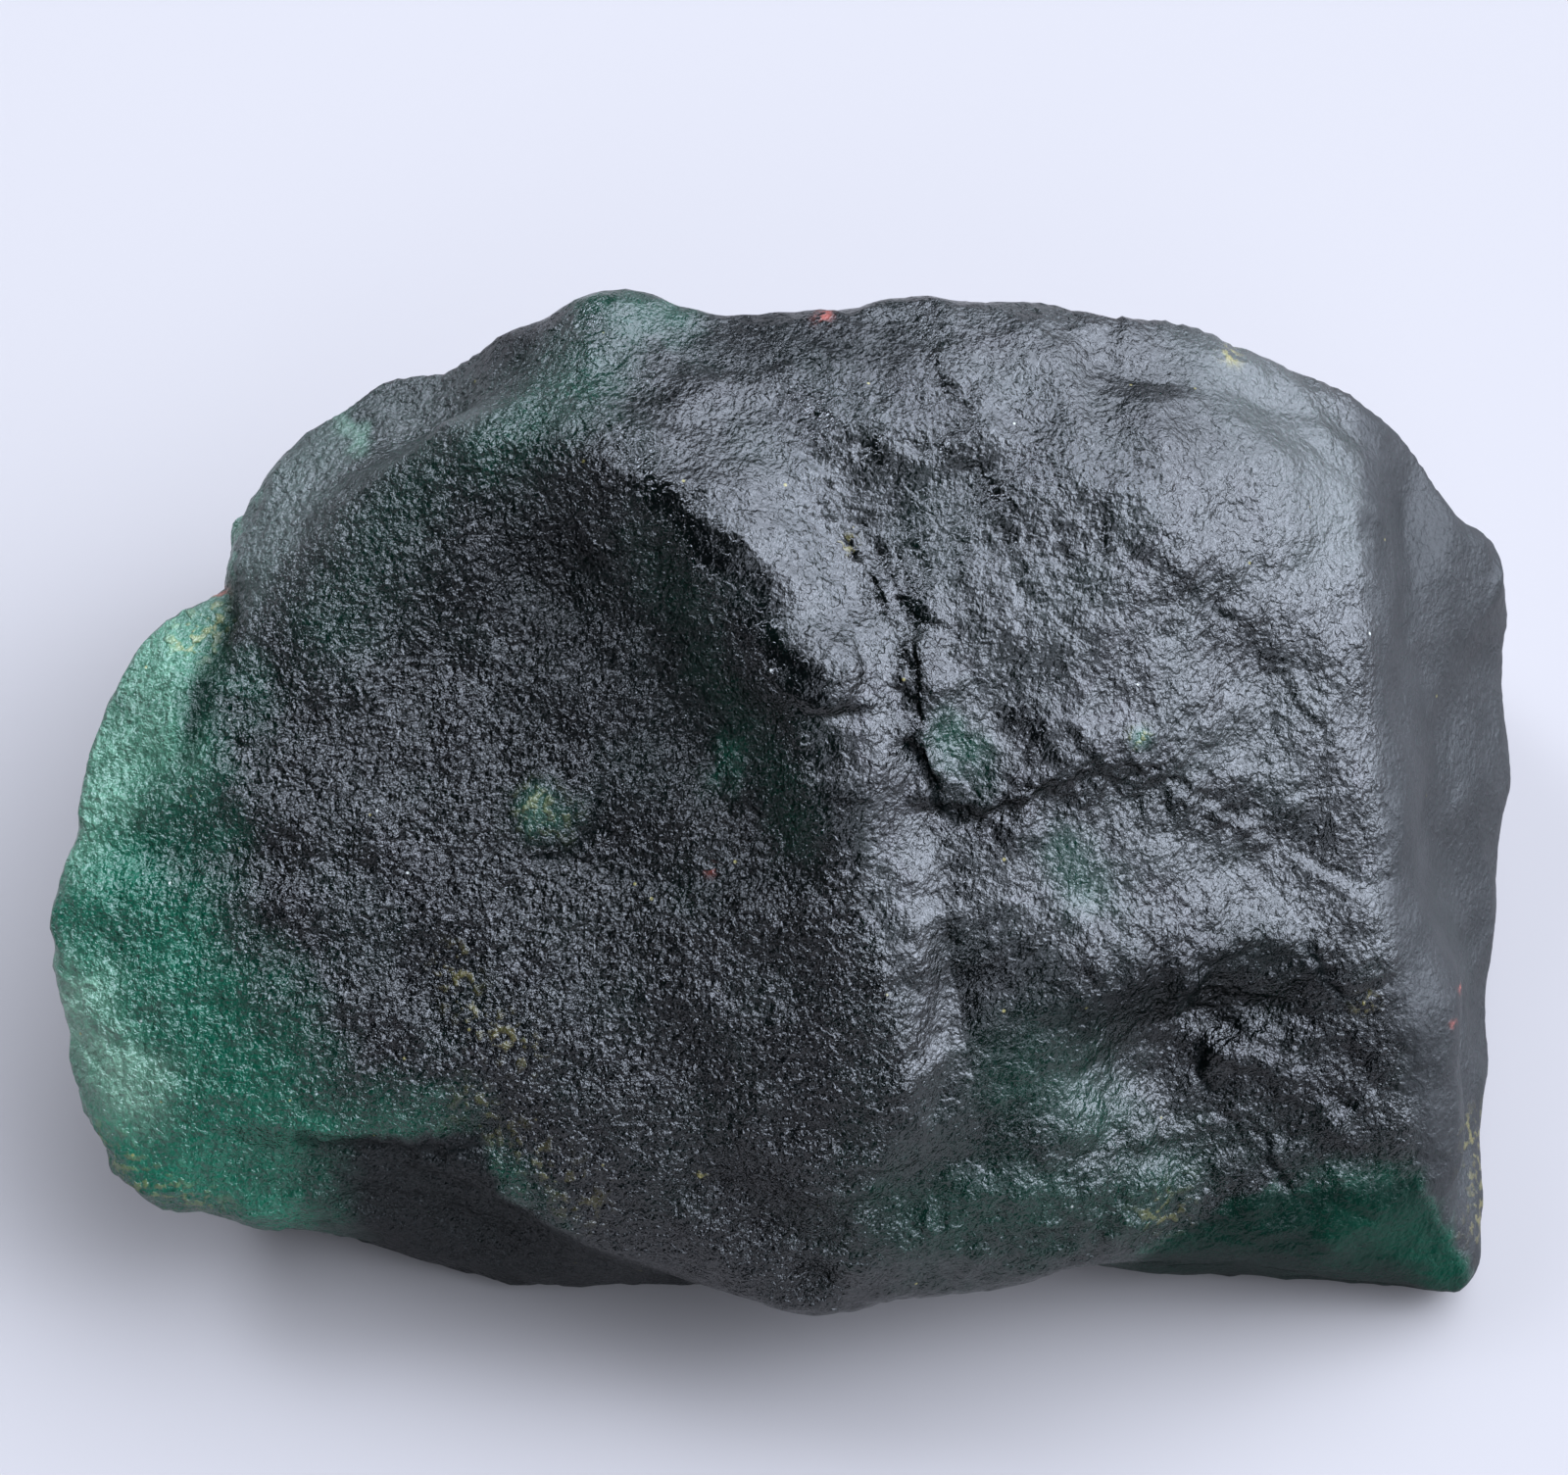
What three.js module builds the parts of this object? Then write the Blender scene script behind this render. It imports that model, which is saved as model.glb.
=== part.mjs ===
// A rough emerald as long as a hand is wide: one unbroken stone, split out of its vein by blows.
// Its broad worn face leans back from level, a steep end face closes the right-hand side, a shelf
// overhangs the near side, and the stone sits on a flat break. Millimetres, +Z up.
//
// The skin is drawn through the stone's own edges. Each edge is a line of points, and between the
// edges the skin is stretched as flat as they allow, so broken faces meet in worn ridges. Steps,
// bulges and flutes are then raised on that skin.
import * as THREE from "three";
import { ConvexHull } from "three/addons/math/ConvexHull.js";
import { ImprovedNoise } from "three/addons/math/ImprovedNoise.js";

// Driving sizes, in millimetres and degrees.
const FACE_LEAN = 25; // the broad face leans this far from level, with its far edge up
const FACE_HEIGHT = 46; // the middle of the broad face stands this far above the seat
const HALF_SIZES = new THREE.Vector3(78, 54, 34); // the block that the stone roughly fills
const HEART = new THREE.Vector3(2, 4, 26); // a point inside that sees all of the skin
const EDGE_STEP = 3.4; // edges are followed in steps of this length
const EDGE_ROUNDING = 0.025; // how worn the edges are, as a share of the half sizes
const SPOT_ROUNDING = 0.08; // and how softly the skin bends over a lone height
const MESH_DETAIL = 9; // the skin between edges starts as an icosahedron, split this many times
const MESH_ROUNDS = 3; // and is then split this many times more, where it is still coarse
const MESH_LENGTH = 5.8; // a side of a triangle longer than this is split
const MESH_CLEARANCE = 0.03; // points of the skin this near to an edge give way to it
const LEAST_APART = { edges: 0.85, turns: 1.7, spots: 6.8 }; // places nearer than this give way
const FACE_SEARCH = { low: -30, high: 20, halvings: 16 }; // how the skin is found under X and Y
const RIM_TURN = { inward: 1, down: 5 }; // below each rim the flank has turned this far in and down
const SEAT_SINK = 1; // the foot's edge runs this far below the seat, which cuts it off flat
const BASE_RINGS = [0.85, 0.6, 0.3, 0]; // rings of the uncut base, as shares of the foot's size
const BASE_DEPTH = 5; // and how far below the seat they lie

// The rims, seen from straight above the broad face: the stone's outline, all the way round. X runs
// along the stone, Y up the leaning face, and Z out of it. Each rim ends where the next one starts,
// but the near left bulge starts below the shelf's end.
const RIMS = {
  leftRim: [
    [-75, -18, -6], [-76, -11, -6], [-74, -3, -5], [-71, 6.5, -6], [-65, 18, -8], [-58, 21.5, -9],
  ],
  upperLeftRim: [
    [-58, 21.5, -9], [-57, 30, -10], [-50, 37, -11], [-41, 43.5, -13], [-35.5, 44, -13],
    [-30, 47, -10], [-22.5, 52, -7],
  ],
  farRim: [
    [-22.5, 52, -7], [-17, 53, -7], [-9.5, 50.5, -7], [5.5, 50, -7], [14, 51.5, -8],
    [28, 51, -9], [44.5, 48.5, -12], [60, 43, -16],
  ],
  rightRim: [
    [60, 43, -16], [69, 36.5, -23], [73, 31, -26], [78, 27, -30], [80.5, 19, -33],
    [80, 1, -34], [78, -16.5, -33], [76.5, -33.5, -29], [75, -50.5, -23], [73, -53.5, -22],
  ],
  nearRightRim: [
    [73, -53.5, -22], [67, -52.5, -22], [50, -51, -21], [44, -50, -18], [38.5, -49, -12],
  ],
  nearRim: [
    [38.5, -49, -12], [31, -49.5, -9], [14, -51, -6.5], [3.5, -53.5, -6.5], [-8.5, -51, -7],
  ],
  nearLeftBulge: [
    [-8.5, -52, -16], [-16.5, -52, -20], [-29, -53, -23], [-34, -51, -23], [-40.5, -49.5, -22],
    [-45.5, -46.5, -19], [-50.5, -45, -15],
  ],
  lowerLeftRim: [
    [-50.5, -45, -15], [-56, -44, -12], [-66.5, -41.5, -10], [-71, -35, -9], [-73.5, -29, -8],
    [-75, -18, -6],
  ],
};

// Edges inside the outline, in the same frame.
const FACE_EDGES = {
  crest: [
    [-15.5, 32.5, 6.5], [-10.5, 25.5, 9], [-6, 21, 10.2], [-2, 16, 10.8], [1, 8.5, 11],
    [3.5, -1.5, 11], [7.5, -8.5, 10.8], [12, -21, 10], [13, -29.5, 8.5], [10, -37.5, 5.5],
    [7.5, -46, 0],
  ],
  farBrow: [
    [-15.5, 41, 1.5], [-10.5, 41.5, 1], [-3.5, 42, 0], [5.5, 42.5, 0], [12.5, 44, -0.5],
    [20.5, 45, -2], [28.5, 44.5, -3], [36, 43, -4.5], [44, 42, -6.5], [52.5, 40, -10],
  ],
  basinEdge: [
    [-15.5, 32.5, 6.5], [-21, 35.5, 4.5], [-31, 37, 2.5], [-37.5, 29.5, 1], [-44, 24.5, 0],
    [-51.5, 18, -2], [-56.5, 15.5, -4],
  ],
  leftLobeEdge: [
    [-57.5, 20, -7], [-60, 12, -4.5], [-61.5, 4, -3.5], [-65.5, -1.5, -4], [-71.5, -4, -5.5],
  ],
  endRidge: [
    [60, 41, -14.5], [60, 30, -8.5], [60.5, 12, -5], [63, -7, -5], [66, -24.5, -7.5],
    [69.5, -40.5, -13], [73.5, -51, -20.5],
  ],
  cornerEdge: [
    [38.5, -48, -10.5], [43, -44, -9.5], [50.5, -41, -9.5], [59, -40.5, -10.5], [67, -39.5, -12.5],
  ],
  hollowBrow: [
    [29.5, -22, 5], [38.5, -18, 2.8], [46.5, -14.5, 0.8], [54, -15, -1.8], [58.5, -19.5, -4.6],
  ],
  shelfEdge: [
    [-74, -16.5, -5.5], [-65.5, -22.5, -3.5], [-61, -31, -4], [-50, -34.5, -4.5], [-41, -35, -4],
    [-31, -34, -3], [-28.5, -41, -4], [-24, -44, -4.5], [-16, -48.5, -6],
  ],
  underShelf: [[-49.5, -37, -8], [-40.5, -38.5, -9], [-30.5, -41, -10], [-24.5, -46.5, -13]],
};

// Lone heights on the broad face, in its own frame: the deepest and highest places between edges.
const FACE_SPOTS = {
  troughByTheCrest: [[15.5, -3.5, 8], [16.5, -18.5, 7.9], [16.5, -28.5, 6], [14, -37.5, 2]],
  broadFace: [
    [9, 19, 7.8], [20, 21, 6], [30, 16, 5], [40.5, 11, 2.5], [50.5, 6, -1.5], [16, 3.5, 8],
    [4, 31, 5.5], [20.5, 34, 3.5], [28.5, 37, 1.5], [35.5, 31, 2], [40.5, 36, -1], [51, 36.5, -5.5],
    [51, 21.5, -2.5], [26, -8.5, 5.5], [40.5, -7, 2], [54, -7, -3], [24, -17.5, 7.2],
  ],
  lowerRightHollow: [
    [37.5, -24, -4], [46, -21, -6], [54, -23, -6.5], [41, -32, -7], [49, -31.5, -7.5],
    [58.5, -32.5, -8.5],
  ],
  nearBrow: [
    [20.5, -33.5, 3], [26.5, -39, -0.5], [16.5, -44, -1.5], [33.5, -39, -3], [31, -44.5, -5.5],
  ],
  basin: [
    [-47, 11.5, -2], [-38, 17.5, -1], [-27.5, 27.5, 0.5], [-19, 24, 2.5], [-11.5, 16, 3.8],
    [-5, 6, 5], [-35, 5, -1], [-19.5, 11, 1.5], [-23.5, 1, 0.5], [-9.5, -2, 3.2], [-1, -2.5, 6],
  ],
  basinCrease: [[-23.5, -6, -0.4], [-15.5, -7.5, 1.1], [-7.5, -8, 2.9], [0, -7.5, 6.2]],
  plateau: [
    [-19.5, -12, 1.9], [-9.5, -14.5, 4.2], [0.5, -16.5, 7], [-39.5, -9, 0], [-29.5, -19, 0.8],
    [-17.5, -27, 1.8], [-3.5, -26.5, 4.8], [-29.5, -29, 0], [-19.5, -37, -1], [-7.5, -39, 0],
    [0.5, -42, 0], [-50, -9, -0.5], [-60, -9, -2.5], [-67.5, -14, -4], [-50, -24, -1.5],
    [-60, -22, -3], [-55, -1, -1.5], [-40, -27, -1],
  ],
  leftLobe: [[-65.5, 11.5, -5.5], [-68.5, 2, -5.5]],
  endFace: [
    [67, 30, -19], [65, 13, -12.5], [70, 13, -20.5], [75, 13, -27.5], [66.5, -7.5, -12.5],
    [70.5, -7.5, -20.5], [75, -7.5, -27.5], [71, -25, -20.5], [74, -25, -26], [72, -40, -20.5],
  ],
  upperLeftLobes: [
    [-50.5, 29.5, -6], [-42.5, 36, -6.5], [-36.5, 39, -9], [-37, 34.5, -4.5], [-33, 39.5, -3.5],
    [-27, 46, -5.5], [-27, 41, -0.5], [-20, 47, -2], [-15, 47, -2.5], [-8, 47.5, -4.5],
  ],
};

// Edges of the flanks, in the frame of the resting stone.
const FLANK_EDGES = {
  leftBelt: [[-66, -20, 18], [-70, -8, 22], [-69.5, 4, 22], [-65, 16, 22], [-60, 27, 22]],
  leftSpur: [[-58, 29, 44], [-58, 34, 26], [-56, 40, 8]],
  farLeftSpur: [[-44, 43, 48], [-46, 49, 30], [-44, 53, 12]],
  farSpur: [[12, 49, 55], [14, 57, 38], [9, 62, 16]],
  farRightSpur: [[60, 45, 46], [65, 47, 32], [60, 51, 12]],
};
const FLANK_SPOTS = [
  [-18, 53, 34], [-20, 56, 14], [40, 51, 30], [38, 54, 12], [-63, -22, 8], [8, -39, 9],
  [26, -37.5, 8],
];
const FOOT = [
  [-58, -24], [-48, -30], [-40, -34], [-29, -37], [-16, -36.5], [-6, -35], [6, -33], [24, -32],
  [38, -33.5], [52, -36], [70, -37], [74, -10], [75, 12], [73, 30], [68, 42], [56, 52], [36, 56],
  [10, 63], [-12, 60], [-32, 57], [-46, 53], [-56, 40], [-63, 18], [-65, -4],
];

// Steps that break the broad face. The side on the left of each line, as it runs, stands higher
// by the height, and sinks back over the reach. Lines are X and Y of the leaning face.
const STEPS = [
  {
    line: [
      [8.5, 25], [11, 21], [12.5, 16.5], [13, 10], [13.5, 4.5], [15, 0.5], [17.5, -2.5],
      [20, -1], [26.5, 0], [30.5, 2.5], [34, 3], [40.5, 1], [47, -2],
    ],
    height: 1.8,
    reach: 14,
  },
  { line: [[8.5, 15], [8, 10], [5.5, 8], [3, 8.5], [0.5, 11]], height: -1, reach: 5 },
  { line: [[34, 4], [31.5, 6.5], [28.5, 9], [25, 9.5]], height: 0.7, reach: 5 },
];
const STEP_WIDTH = 1; // a step rises over this width
const STEP_ENDS = 0.2; // steps and folds die away over this share of their line, at either end
const STEP_FLOOR = -20; // and they stop where the skin lies this far below the broad face

// Narrow ridges, and grooves where the height is negative, along lines of the leaning face.
const FOLDS = [
  { line: [[5.5, 44], [6, 38], [7.5, 35], [10, 34.5], [14, 36]], height: 0.9, width: 1.8 },
  { line: [[17, 42], [21.5, 31.5], [23.5, 26]], height: -0.8, width: 2.2 },
  { line: [[25, 44], [26.5, 36], [30, 30]], height: -0.6, width: 2 },
  { line: [[35, 47], [34, 40], [33.5, 32]], height: -1, width: 2.2 },
  { line: [[42, 20.5], [46, 18.5]], height: -0.8, width: 1.6 },
  { line: [[17, -4], [18, -18], [17.5, -28]], height: -1.2, width: 2.6 },
  { line: [[-62, 3], [-48, -4], [-38, -3]], height: 0.7, width: 3 },
  { line: [[-52, -13], [-40, -17], [-26, -16]], height: -0.6, width: 3 },
  { line: [[-47, -41.5], [-38, -43.5], [-28, -46.5]], height: -0.9, width: 1.4 },
  { line: [[38, -27], [47, -27], [56, -29]], height: 0.8, width: 2 },
];

// Low swellings and pits of the leaning face: middle, half size each way, and height.
const SWELLINGS = [
  { at: [4.5, 13], half: [4, 4.5], height: 1 },
  { at: [-24.5, -1], half: [2.6, 2.4], height: 0.7 },
  { at: [3, -50.5], half: [1.6, 1.8], height: -1.5 },
  { at: [-31, 12], half: [6, 5], height: -0.6 },
  { at: [27, -30], half: [5, 4], height: 0.9 },
  { at: [-50, 33], half: [4, 4], height: 0.8 },
];

// Weathering all over: ridged noise, coarse and then finer, as wavelength and height.
const WEATHERING = [{ wavelength: 16, height: 1.1 }, { wavelength: 7.5, height: 0.5 }];
const WEATHERING_CREST = 0.5; // its crests stand this share of the height above the skin
const WEATHERING_SLOPE = 2; // and its sides fall this many times as fast as the noise
const SEAT_FADE = 6; // all of the relief dies away over this height above the seat

const faceAngle = THREE.MathUtils.degToRad(FACE_LEAN);
const xAxis = new THREE.Vector3(1, 0, 0);

// A place given in the leaning face's frame, moved to where it is on the resting stone.
function fromFace([x, y, z]) {
  const place = new THREE.Vector3(x, y, z).applyAxisAngle(xAxis, faceAngle);
  place.z += FACE_HEIGHT;
  return place;
}

// The same place in the leaning face's frame.
function toFace(place) {
  const turned = place.clone();
  turned.z -= FACE_HEIGHT;
  return turned.applyAxisAngle(xAxis, -faceAngle);
}

// Points at even steps along a bent line, with its bends kept.
function alongEdge(places, step = EDGE_STEP) {
  const steps = places.slice(1).flatMap((end, i) => {
    const start = places[i];
    const count = Math.max(1, Math.round(start.distanceTo(end) / step));
    return Array.from({ length: count }, (_, k) => start.clone().lerp(end, k / count));
  });
  return [...steps, places.at(-1).clone()];
}

// The skin seen from the heart: a direction, in a frame where the stone fills a unit ball.
function directionTo(place) {
  return place.clone().sub(HEART).divide(HALF_SIZES).normalize();
}

// How far out the skin lies in each direction, interpolated through the places it must pass. The
// inverse of the distance is interpolated, because it is linear over any flat face.
class Skin {
  constructor(edgePlaces, spotPlaces) {
    const places = [...edgePlaces, ...spotPlaces];
    this.directions = places.map(directionTo);
    this.roundings = places.map((_, i) => (i < edgePlaces.length ? EDGE_ROUNDING : SPOT_ROUNDING));
    const inverses = places.map((place) => 1 / place.clone().sub(HEART).divide(HALF_SIZES).length());
    const size = places.length;
    const rows = this.directions.map((direction, i) => [
      ...this.directions.map((_, k) => this.pull(direction, k)),
      ...this.trend(direction),
      inverses[i],
    ]);
    for (let k = 0; k < 4; k += 1) {
      rows.push([...this.directions.map((direction) => this.trend(direction)[k]), 0, 0, 0, 0, 0]);
    }
    this.weights = solve(rows);
    this.trendWeights = this.weights.slice(size);
  }

  // How much a place that the skin passes pulls on it, seen in some direction.
  pull(direction, i) {
    return -Math.hypot(direction.distanceTo(this.directions[i]), this.roundings[i]);
  }

  trend(direction) {
    return [1, direction.x, direction.y, direction.z];
  }

  // The place on the skin in a direction.
  at(direction) {
    let inverse = 0;
    this.directions.forEach((_, i) => {
      inverse += this.weights[i] * this.pull(direction, i);
    });
    this.trend(direction).forEach((value, k) => {
      inverse += this.trendWeights[k] * value;
    });
    return direction.clone().divideScalar(inverse).multiply(HALF_SIZES).add(HEART);
  }

  // The direction of the skin that lies under a point of the leaning face's own X and Y.
  under(x, y) {
    let { low, high } = FACE_SEARCH;
    for (let i = 0; i < FACE_SEARCH.halvings; i += 1) {
      const middle = (low + high) / 2;
      const place = fromFace([x, y, middle]);
      const inside = place.distanceTo(HEART) < this.at(directionTo(place)).distanceTo(HEART);
      if (inside) low = middle;
      else high = middle;
    }
    return directionTo(fromFace([x, y, low]));
  }
}

// Gaussian elimination with row swaps. Each row ends with its right-hand side.
function solve(rows) {
  const size = rows.length;
  const table = rows.map((row) => Float64Array.from(row));
  for (let column = 0; column < size; column += 1) {
    let best = column;
    for (let i = column + 1; i < size; i += 1) {
      if (Math.abs(table[i][column]) > Math.abs(table[best][column])) best = i;
    }
    [table[column], table[best]] = [table[best], table[column]];
    const pivot = table[column];
    for (let i = column + 1; i < size; i += 1) {
      const row = table[i];
      const share = row[column] / pivot[column];
      if (share === 0) continue;
      for (let k = column; k <= size; k += 1) row[k] -= share * pivot[k];
    }
  }
  const answer = new Float64Array(size);
  for (let i = size - 1; i >= 0; i -= 1) {
    let rest = table[i][size];
    for (let k = i + 1; k < size; k += 1) rest -= table[i][k] * answer[k];
    answer[i] = rest / table[i][i];
  }
  return answer;
}

// The line along which a flank leaves its rim. Close to the seat it drops half of the way down.
function turnBelow(rim) {
  return rim.map((place) => {
    const inward = HEART.clone().sub(place).setZ(0).setLength(RIM_TURN.inward);
    return place.clone().add(inward).setZ(place.z - Math.min(RIM_TURN.down, place.z / 2));
  });
}

const rims = Object.values(RIMS).map((rim) => alongEdge(rim.map(fromFace)));
const edges = [
  ...rims,
  ...Object.values(FACE_EDGES).map((edge) => alongEdge(edge.map(fromFace))),
  ...Object.values(FLANK_EDGES).map((edge) => alongEdge(edge.map((at) => new THREE.Vector3(...at)))),
];
const foot = alongEdge([...FOOT, FOOT[0]].map(([x, y]) => new THREE.Vector3(x, y, -SEAT_SINK)));
const underHeart = HEART.clone().setZ(-BASE_DEPTH);
const baseRings = BASE_RINGS.flatMap((share) =>
  foot.map((place) => underHeart.clone().lerp(place.clone().setZ(-BASE_DEPTH), share)),
);
const spots = [
  ...Object.values(FACE_SPOTS).flat().map(fromFace),
  ...FLANK_SPOTS.map((at) => new THREE.Vector3(...at)),
  ...baseRings,
];

// Leaves out places that repeat another, such as the shared ends of two edges.
function apart(places, least) {
  const kept = [];
  for (const place of places) {
    if (kept.every((other) => other.distanceTo(place) > least)) kept.push(place);
  }
  return kept;
}

const edgePlaces = apart([...edges.flat(), ...foot], LEAST_APART.edges);
const turns = rims.flatMap(turnBelow).filter((turn) =>
  edgePlaces.every((other) => other.distanceTo(turn) > LEAST_APART.turns),
);
const crispPlaces = [...edgePlaces, ...apart(turns, LEAST_APART.turns)];
const softPlaces = apart(spots, LEAST_APART.spots).filter((spot) =>
  crispPlaces.every((other) => other.distanceTo(spot) > LEAST_APART.turns),
);
const skin = new Skin(crispPlaces, softPlaces);

// Where a point lies beside a line of the leaning face: how far off, positive on the line's left,
// and how far along, from 0 to 1.
function beside(line, x, y) {
  const at = new THREE.Vector2(x, y);
  let nearest = { away: Infinity, along: 0 };
  for (let i = 1; i < line.length; i += 1) {
    const start = new THREE.Vector2(...line[i - 1]);
    const run = new THREE.Vector2(...line[i]).sub(start);
    const toward = at.clone().sub(start);
    const share = THREE.MathUtils.clamp(toward.dot(run) / run.lengthSq(), 0, 1);
    const away = toward.distanceTo(run.clone().multiplyScalar(share));
    if (away < Math.abs(nearest.away)) {
      const side = run.cross(toward) < 0 ? -1 : 1;
      nearest = { away: away * side, along: (i - 1 + share) / (line.length - 1) };
    }
  }
  return nearest;
}

// How much of its height a step or fold keeps along its line: all in the middle, none at the ends.
function fadeAtEnds(along) {
  return THREE.MathUtils.smoothstep(Math.min(along, 1 - along), 0, STEP_ENDS);
}

const noise = new ImprovedNoise();

// The height of the relief above the skin at a place on it, in millimetres.
function reliefAt(place) {
  const { x, y, z } = toFace(place);
  let height = 0;
  if (z > STEP_FLOOR) {
    for (const step of STEPS) {
      const { away, along } = beside(step.line, x, y);
      const rise = THREE.MathUtils.smoothstep(away, -STEP_WIDTH / 2, STEP_WIDTH / 2);
      height += step.height * rise * Math.exp(-Math.max(0, away) / step.reach) * fadeAtEnds(along);
    }
    for (const fold of FOLDS) {
      const { away, along } = beside(fold.line, x, y);
      height += fold.height * Math.exp(-((away / fold.width) ** 2)) * fadeAtEnds(along);
    }
    for (const { at, half, height: rise } of SWELLINGS) {
      height += rise * Math.exp(-(((x - at[0]) / half[0]) ** 2) - ((y - at[1]) / half[1]) ** 2);
    }
  }
  for (const { wavelength, height: rise } of WEATHERING) {
    const value = noise.noise(place.x / wavelength, place.y / wavelength, place.z / wavelength);
    height += rise * (WEATHERING_CREST - WEATHERING_SLOPE * Math.abs(value));
  }
  return height * THREE.MathUtils.smoothstep(place.z, 0, SEAT_FADE);
}

// The hull of points on a ball joins each to its neighbours, as triangles that index the points.
function joinNeighbours(directions) {
  directions.forEach((direction, i) => {
    direction.index = i;
  });
  return new ConvexHull().setFromPoints(directions).faces.map((face) => {
    const first = face.edge;
    return [first, first.next, first.next.next].map((side) => side.head().point.index);
  });
}

// The mesh's directions: the edges themselves, and an even spread between them.
const stepRows = STEPS.flatMap(({ line }) => {
  const row = alongEdge(line.map(([x, y]) => new THREE.Vector3(x, y, 0)));
  return row.slice(1).flatMap((end, i) => {
    const across = end.clone().sub(row[i]).setLength(STEP_WIDTH / 2);
    const middle = end.clone().add(row[i]).multiplyScalar(0.5);
    return [-1, 1].map((side) => skin.under(middle.x - side * across.y, middle.y + side * across.x));
  });
});
const edgeDirections = [...edgePlaces.map(directionTo), ...stepRows];
const ball = new THREE.IcosahedronGeometry(1, MESH_DETAIL).getAttribute("position");
const spread = new Map();
for (let i = 0; i < ball.count; i += 1) {
  const direction = new THREE.Vector3().fromBufferAttribute(ball, i);
  spread.set(direction.toArray().map((value) => value.toFixed(4)).join(), direction);
}
const between = [...spread.values()].filter((direction) =>
  edgeDirections.every((other) => other.distanceTo(direction) > MESH_CLEARANCE),
);
const directions = [...edgeDirections, ...between];
const places = directions.map((direction) => skin.at(direction));
for (let round = 0; round < MESH_ROUNDS; round += 1) {
  for (const corners of joinNeighbours([...directions])) {
    corners.forEach((from, k) => {
      const to = corners[(k + 1) % 3];
      if (from < to && places[from].distanceTo(places[to]) > MESH_LENGTH) {
        const direction = directions[from].clone().add(directions[to]).normalize();
        directions.push(direction);
        places.push(skin.at(direction));
      }
    });
  }
}
const faces = joinNeighbours(directions);

const geometry = new THREE.BufferGeometry();
geometry.setAttribute(
  "position",
  new THREE.Float32BufferAttribute(places.flatMap((place) => place.toArray()), 3),
);
geometry.setIndex(faces.flat());
geometry.computeVertexNormals();

// Raises the relief, and stops the skin at the seat along the line from the heart.
const place = new THREE.Vector3();
const normal = new THREE.Vector3();
const positions = geometry.getAttribute("position");
for (let i = 0; i < positions.count; i += 1) {
  place.fromBufferAttribute(positions, i);
  normal.fromBufferAttribute(geometry.getAttribute("normal"), i);
  place.addScaledVector(normal, reliefAt(place));
  positions.setXYZ(i, ...place.toArray());
  if (place.z < 0) {
    place.sub(HEART).multiplyScalar(HEART.z / (HEART.z - place.z)).add(HEART);
    place.z = 0;
    positions.setXYZ(i, ...place.toArray());
  }
}

// The origin is on the seat, under the middle of the stone.
geometry.computeBoundingBox();
const middle = geometry.boundingBox.getCenter(new THREE.Vector3());
geometry.translate(-middle.x, -middle.y, 0);

const stone = new THREE.Mesh(
  geometry,
  new THREE.MeshStandardMaterial({ color: 0x3c4a4a, roughness: 0.4, metalness: 0 }),
);
stone.name = "raw_emerald";

const model = new THREE.Group();
model.add(stone);
export default model;
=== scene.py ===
"""A raw emerald, broken and weathered, resting on a pale floor under soft studio light."""
import logging
import math
from dataclasses import dataclass
from enum import Enum
from typing import Any, Union

import bpy
import numpy as np
from mathutils import Matrix, Vector


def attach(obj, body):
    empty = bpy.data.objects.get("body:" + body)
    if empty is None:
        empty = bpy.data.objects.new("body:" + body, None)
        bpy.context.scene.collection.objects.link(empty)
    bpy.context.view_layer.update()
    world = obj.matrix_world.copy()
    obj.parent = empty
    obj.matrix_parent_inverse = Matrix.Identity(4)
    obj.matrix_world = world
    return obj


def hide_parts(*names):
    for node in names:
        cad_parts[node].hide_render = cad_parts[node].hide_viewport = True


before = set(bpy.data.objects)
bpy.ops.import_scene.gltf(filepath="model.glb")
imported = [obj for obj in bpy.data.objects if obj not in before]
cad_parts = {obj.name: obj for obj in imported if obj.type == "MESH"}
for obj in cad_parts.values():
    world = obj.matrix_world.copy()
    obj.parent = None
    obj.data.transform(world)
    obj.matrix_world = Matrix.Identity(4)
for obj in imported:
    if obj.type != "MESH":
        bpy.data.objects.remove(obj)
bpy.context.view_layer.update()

Array = np.ndarray
Span = tuple[float, float]
Line = tuple[Span, ...]
Colour = tuple[float, float, float]
Way = tuple[float, float, float]
Layers = tuple[tuple[int, float, float], ...]
Socket = bpy.types.NodeSocket

MM = 0.001
TINY = 1e-9

log = logging.getLogger("raw_emerald")


def ease(low: float, high: float, value: Array) -> Array:
    """Rises smoothly from 0 at low to 1 at high, or falls where high is below low."""
    share = np.clip((value - low) / (high - low), 0.0, 1.0)
    return share * share * (3.0 - 2.0 * share)


def hump(distance: Array, width: float) -> Array:
    """Gives a soft hump that is 1 at no distance and fades over the width."""
    return np.exp(-((distance / width) ** 2))


@dataclass(frozen=True)
class BroadFace:
    """The broad broken face as a frame of its own, in millimetres.

    u runs along the stone, v up the face and w straight out of it.
    """

    lean: float = 25.0
    origin: Way = (-2.2525, -9.0075, 46.0)

    def axes(self) -> Array:
        """Works out the directions of u, v and w.

        Returns:
            The three as the rows of a matrix.
        """
        turn = math.radians(self.lean)
        along, out = math.cos(turn), math.sin(turn)
        return np.array([[1.0, 0.0, 0.0], [0.0, along, out], [0.0, -out, along]])

    def places(self, points: Array) -> Array:
        """Turns points of the stone into u, v and w."""
        return (points - np.array(self.origin)) @ self.axes().T

    def point(self, u: float, v: float, w: float) -> Vector:
        """Gives a place on the face as a point of the stone, in metres."""
        return Vector((np.array([u, v, w]) @ self.axes() + np.array(self.origin)) * MM)


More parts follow.
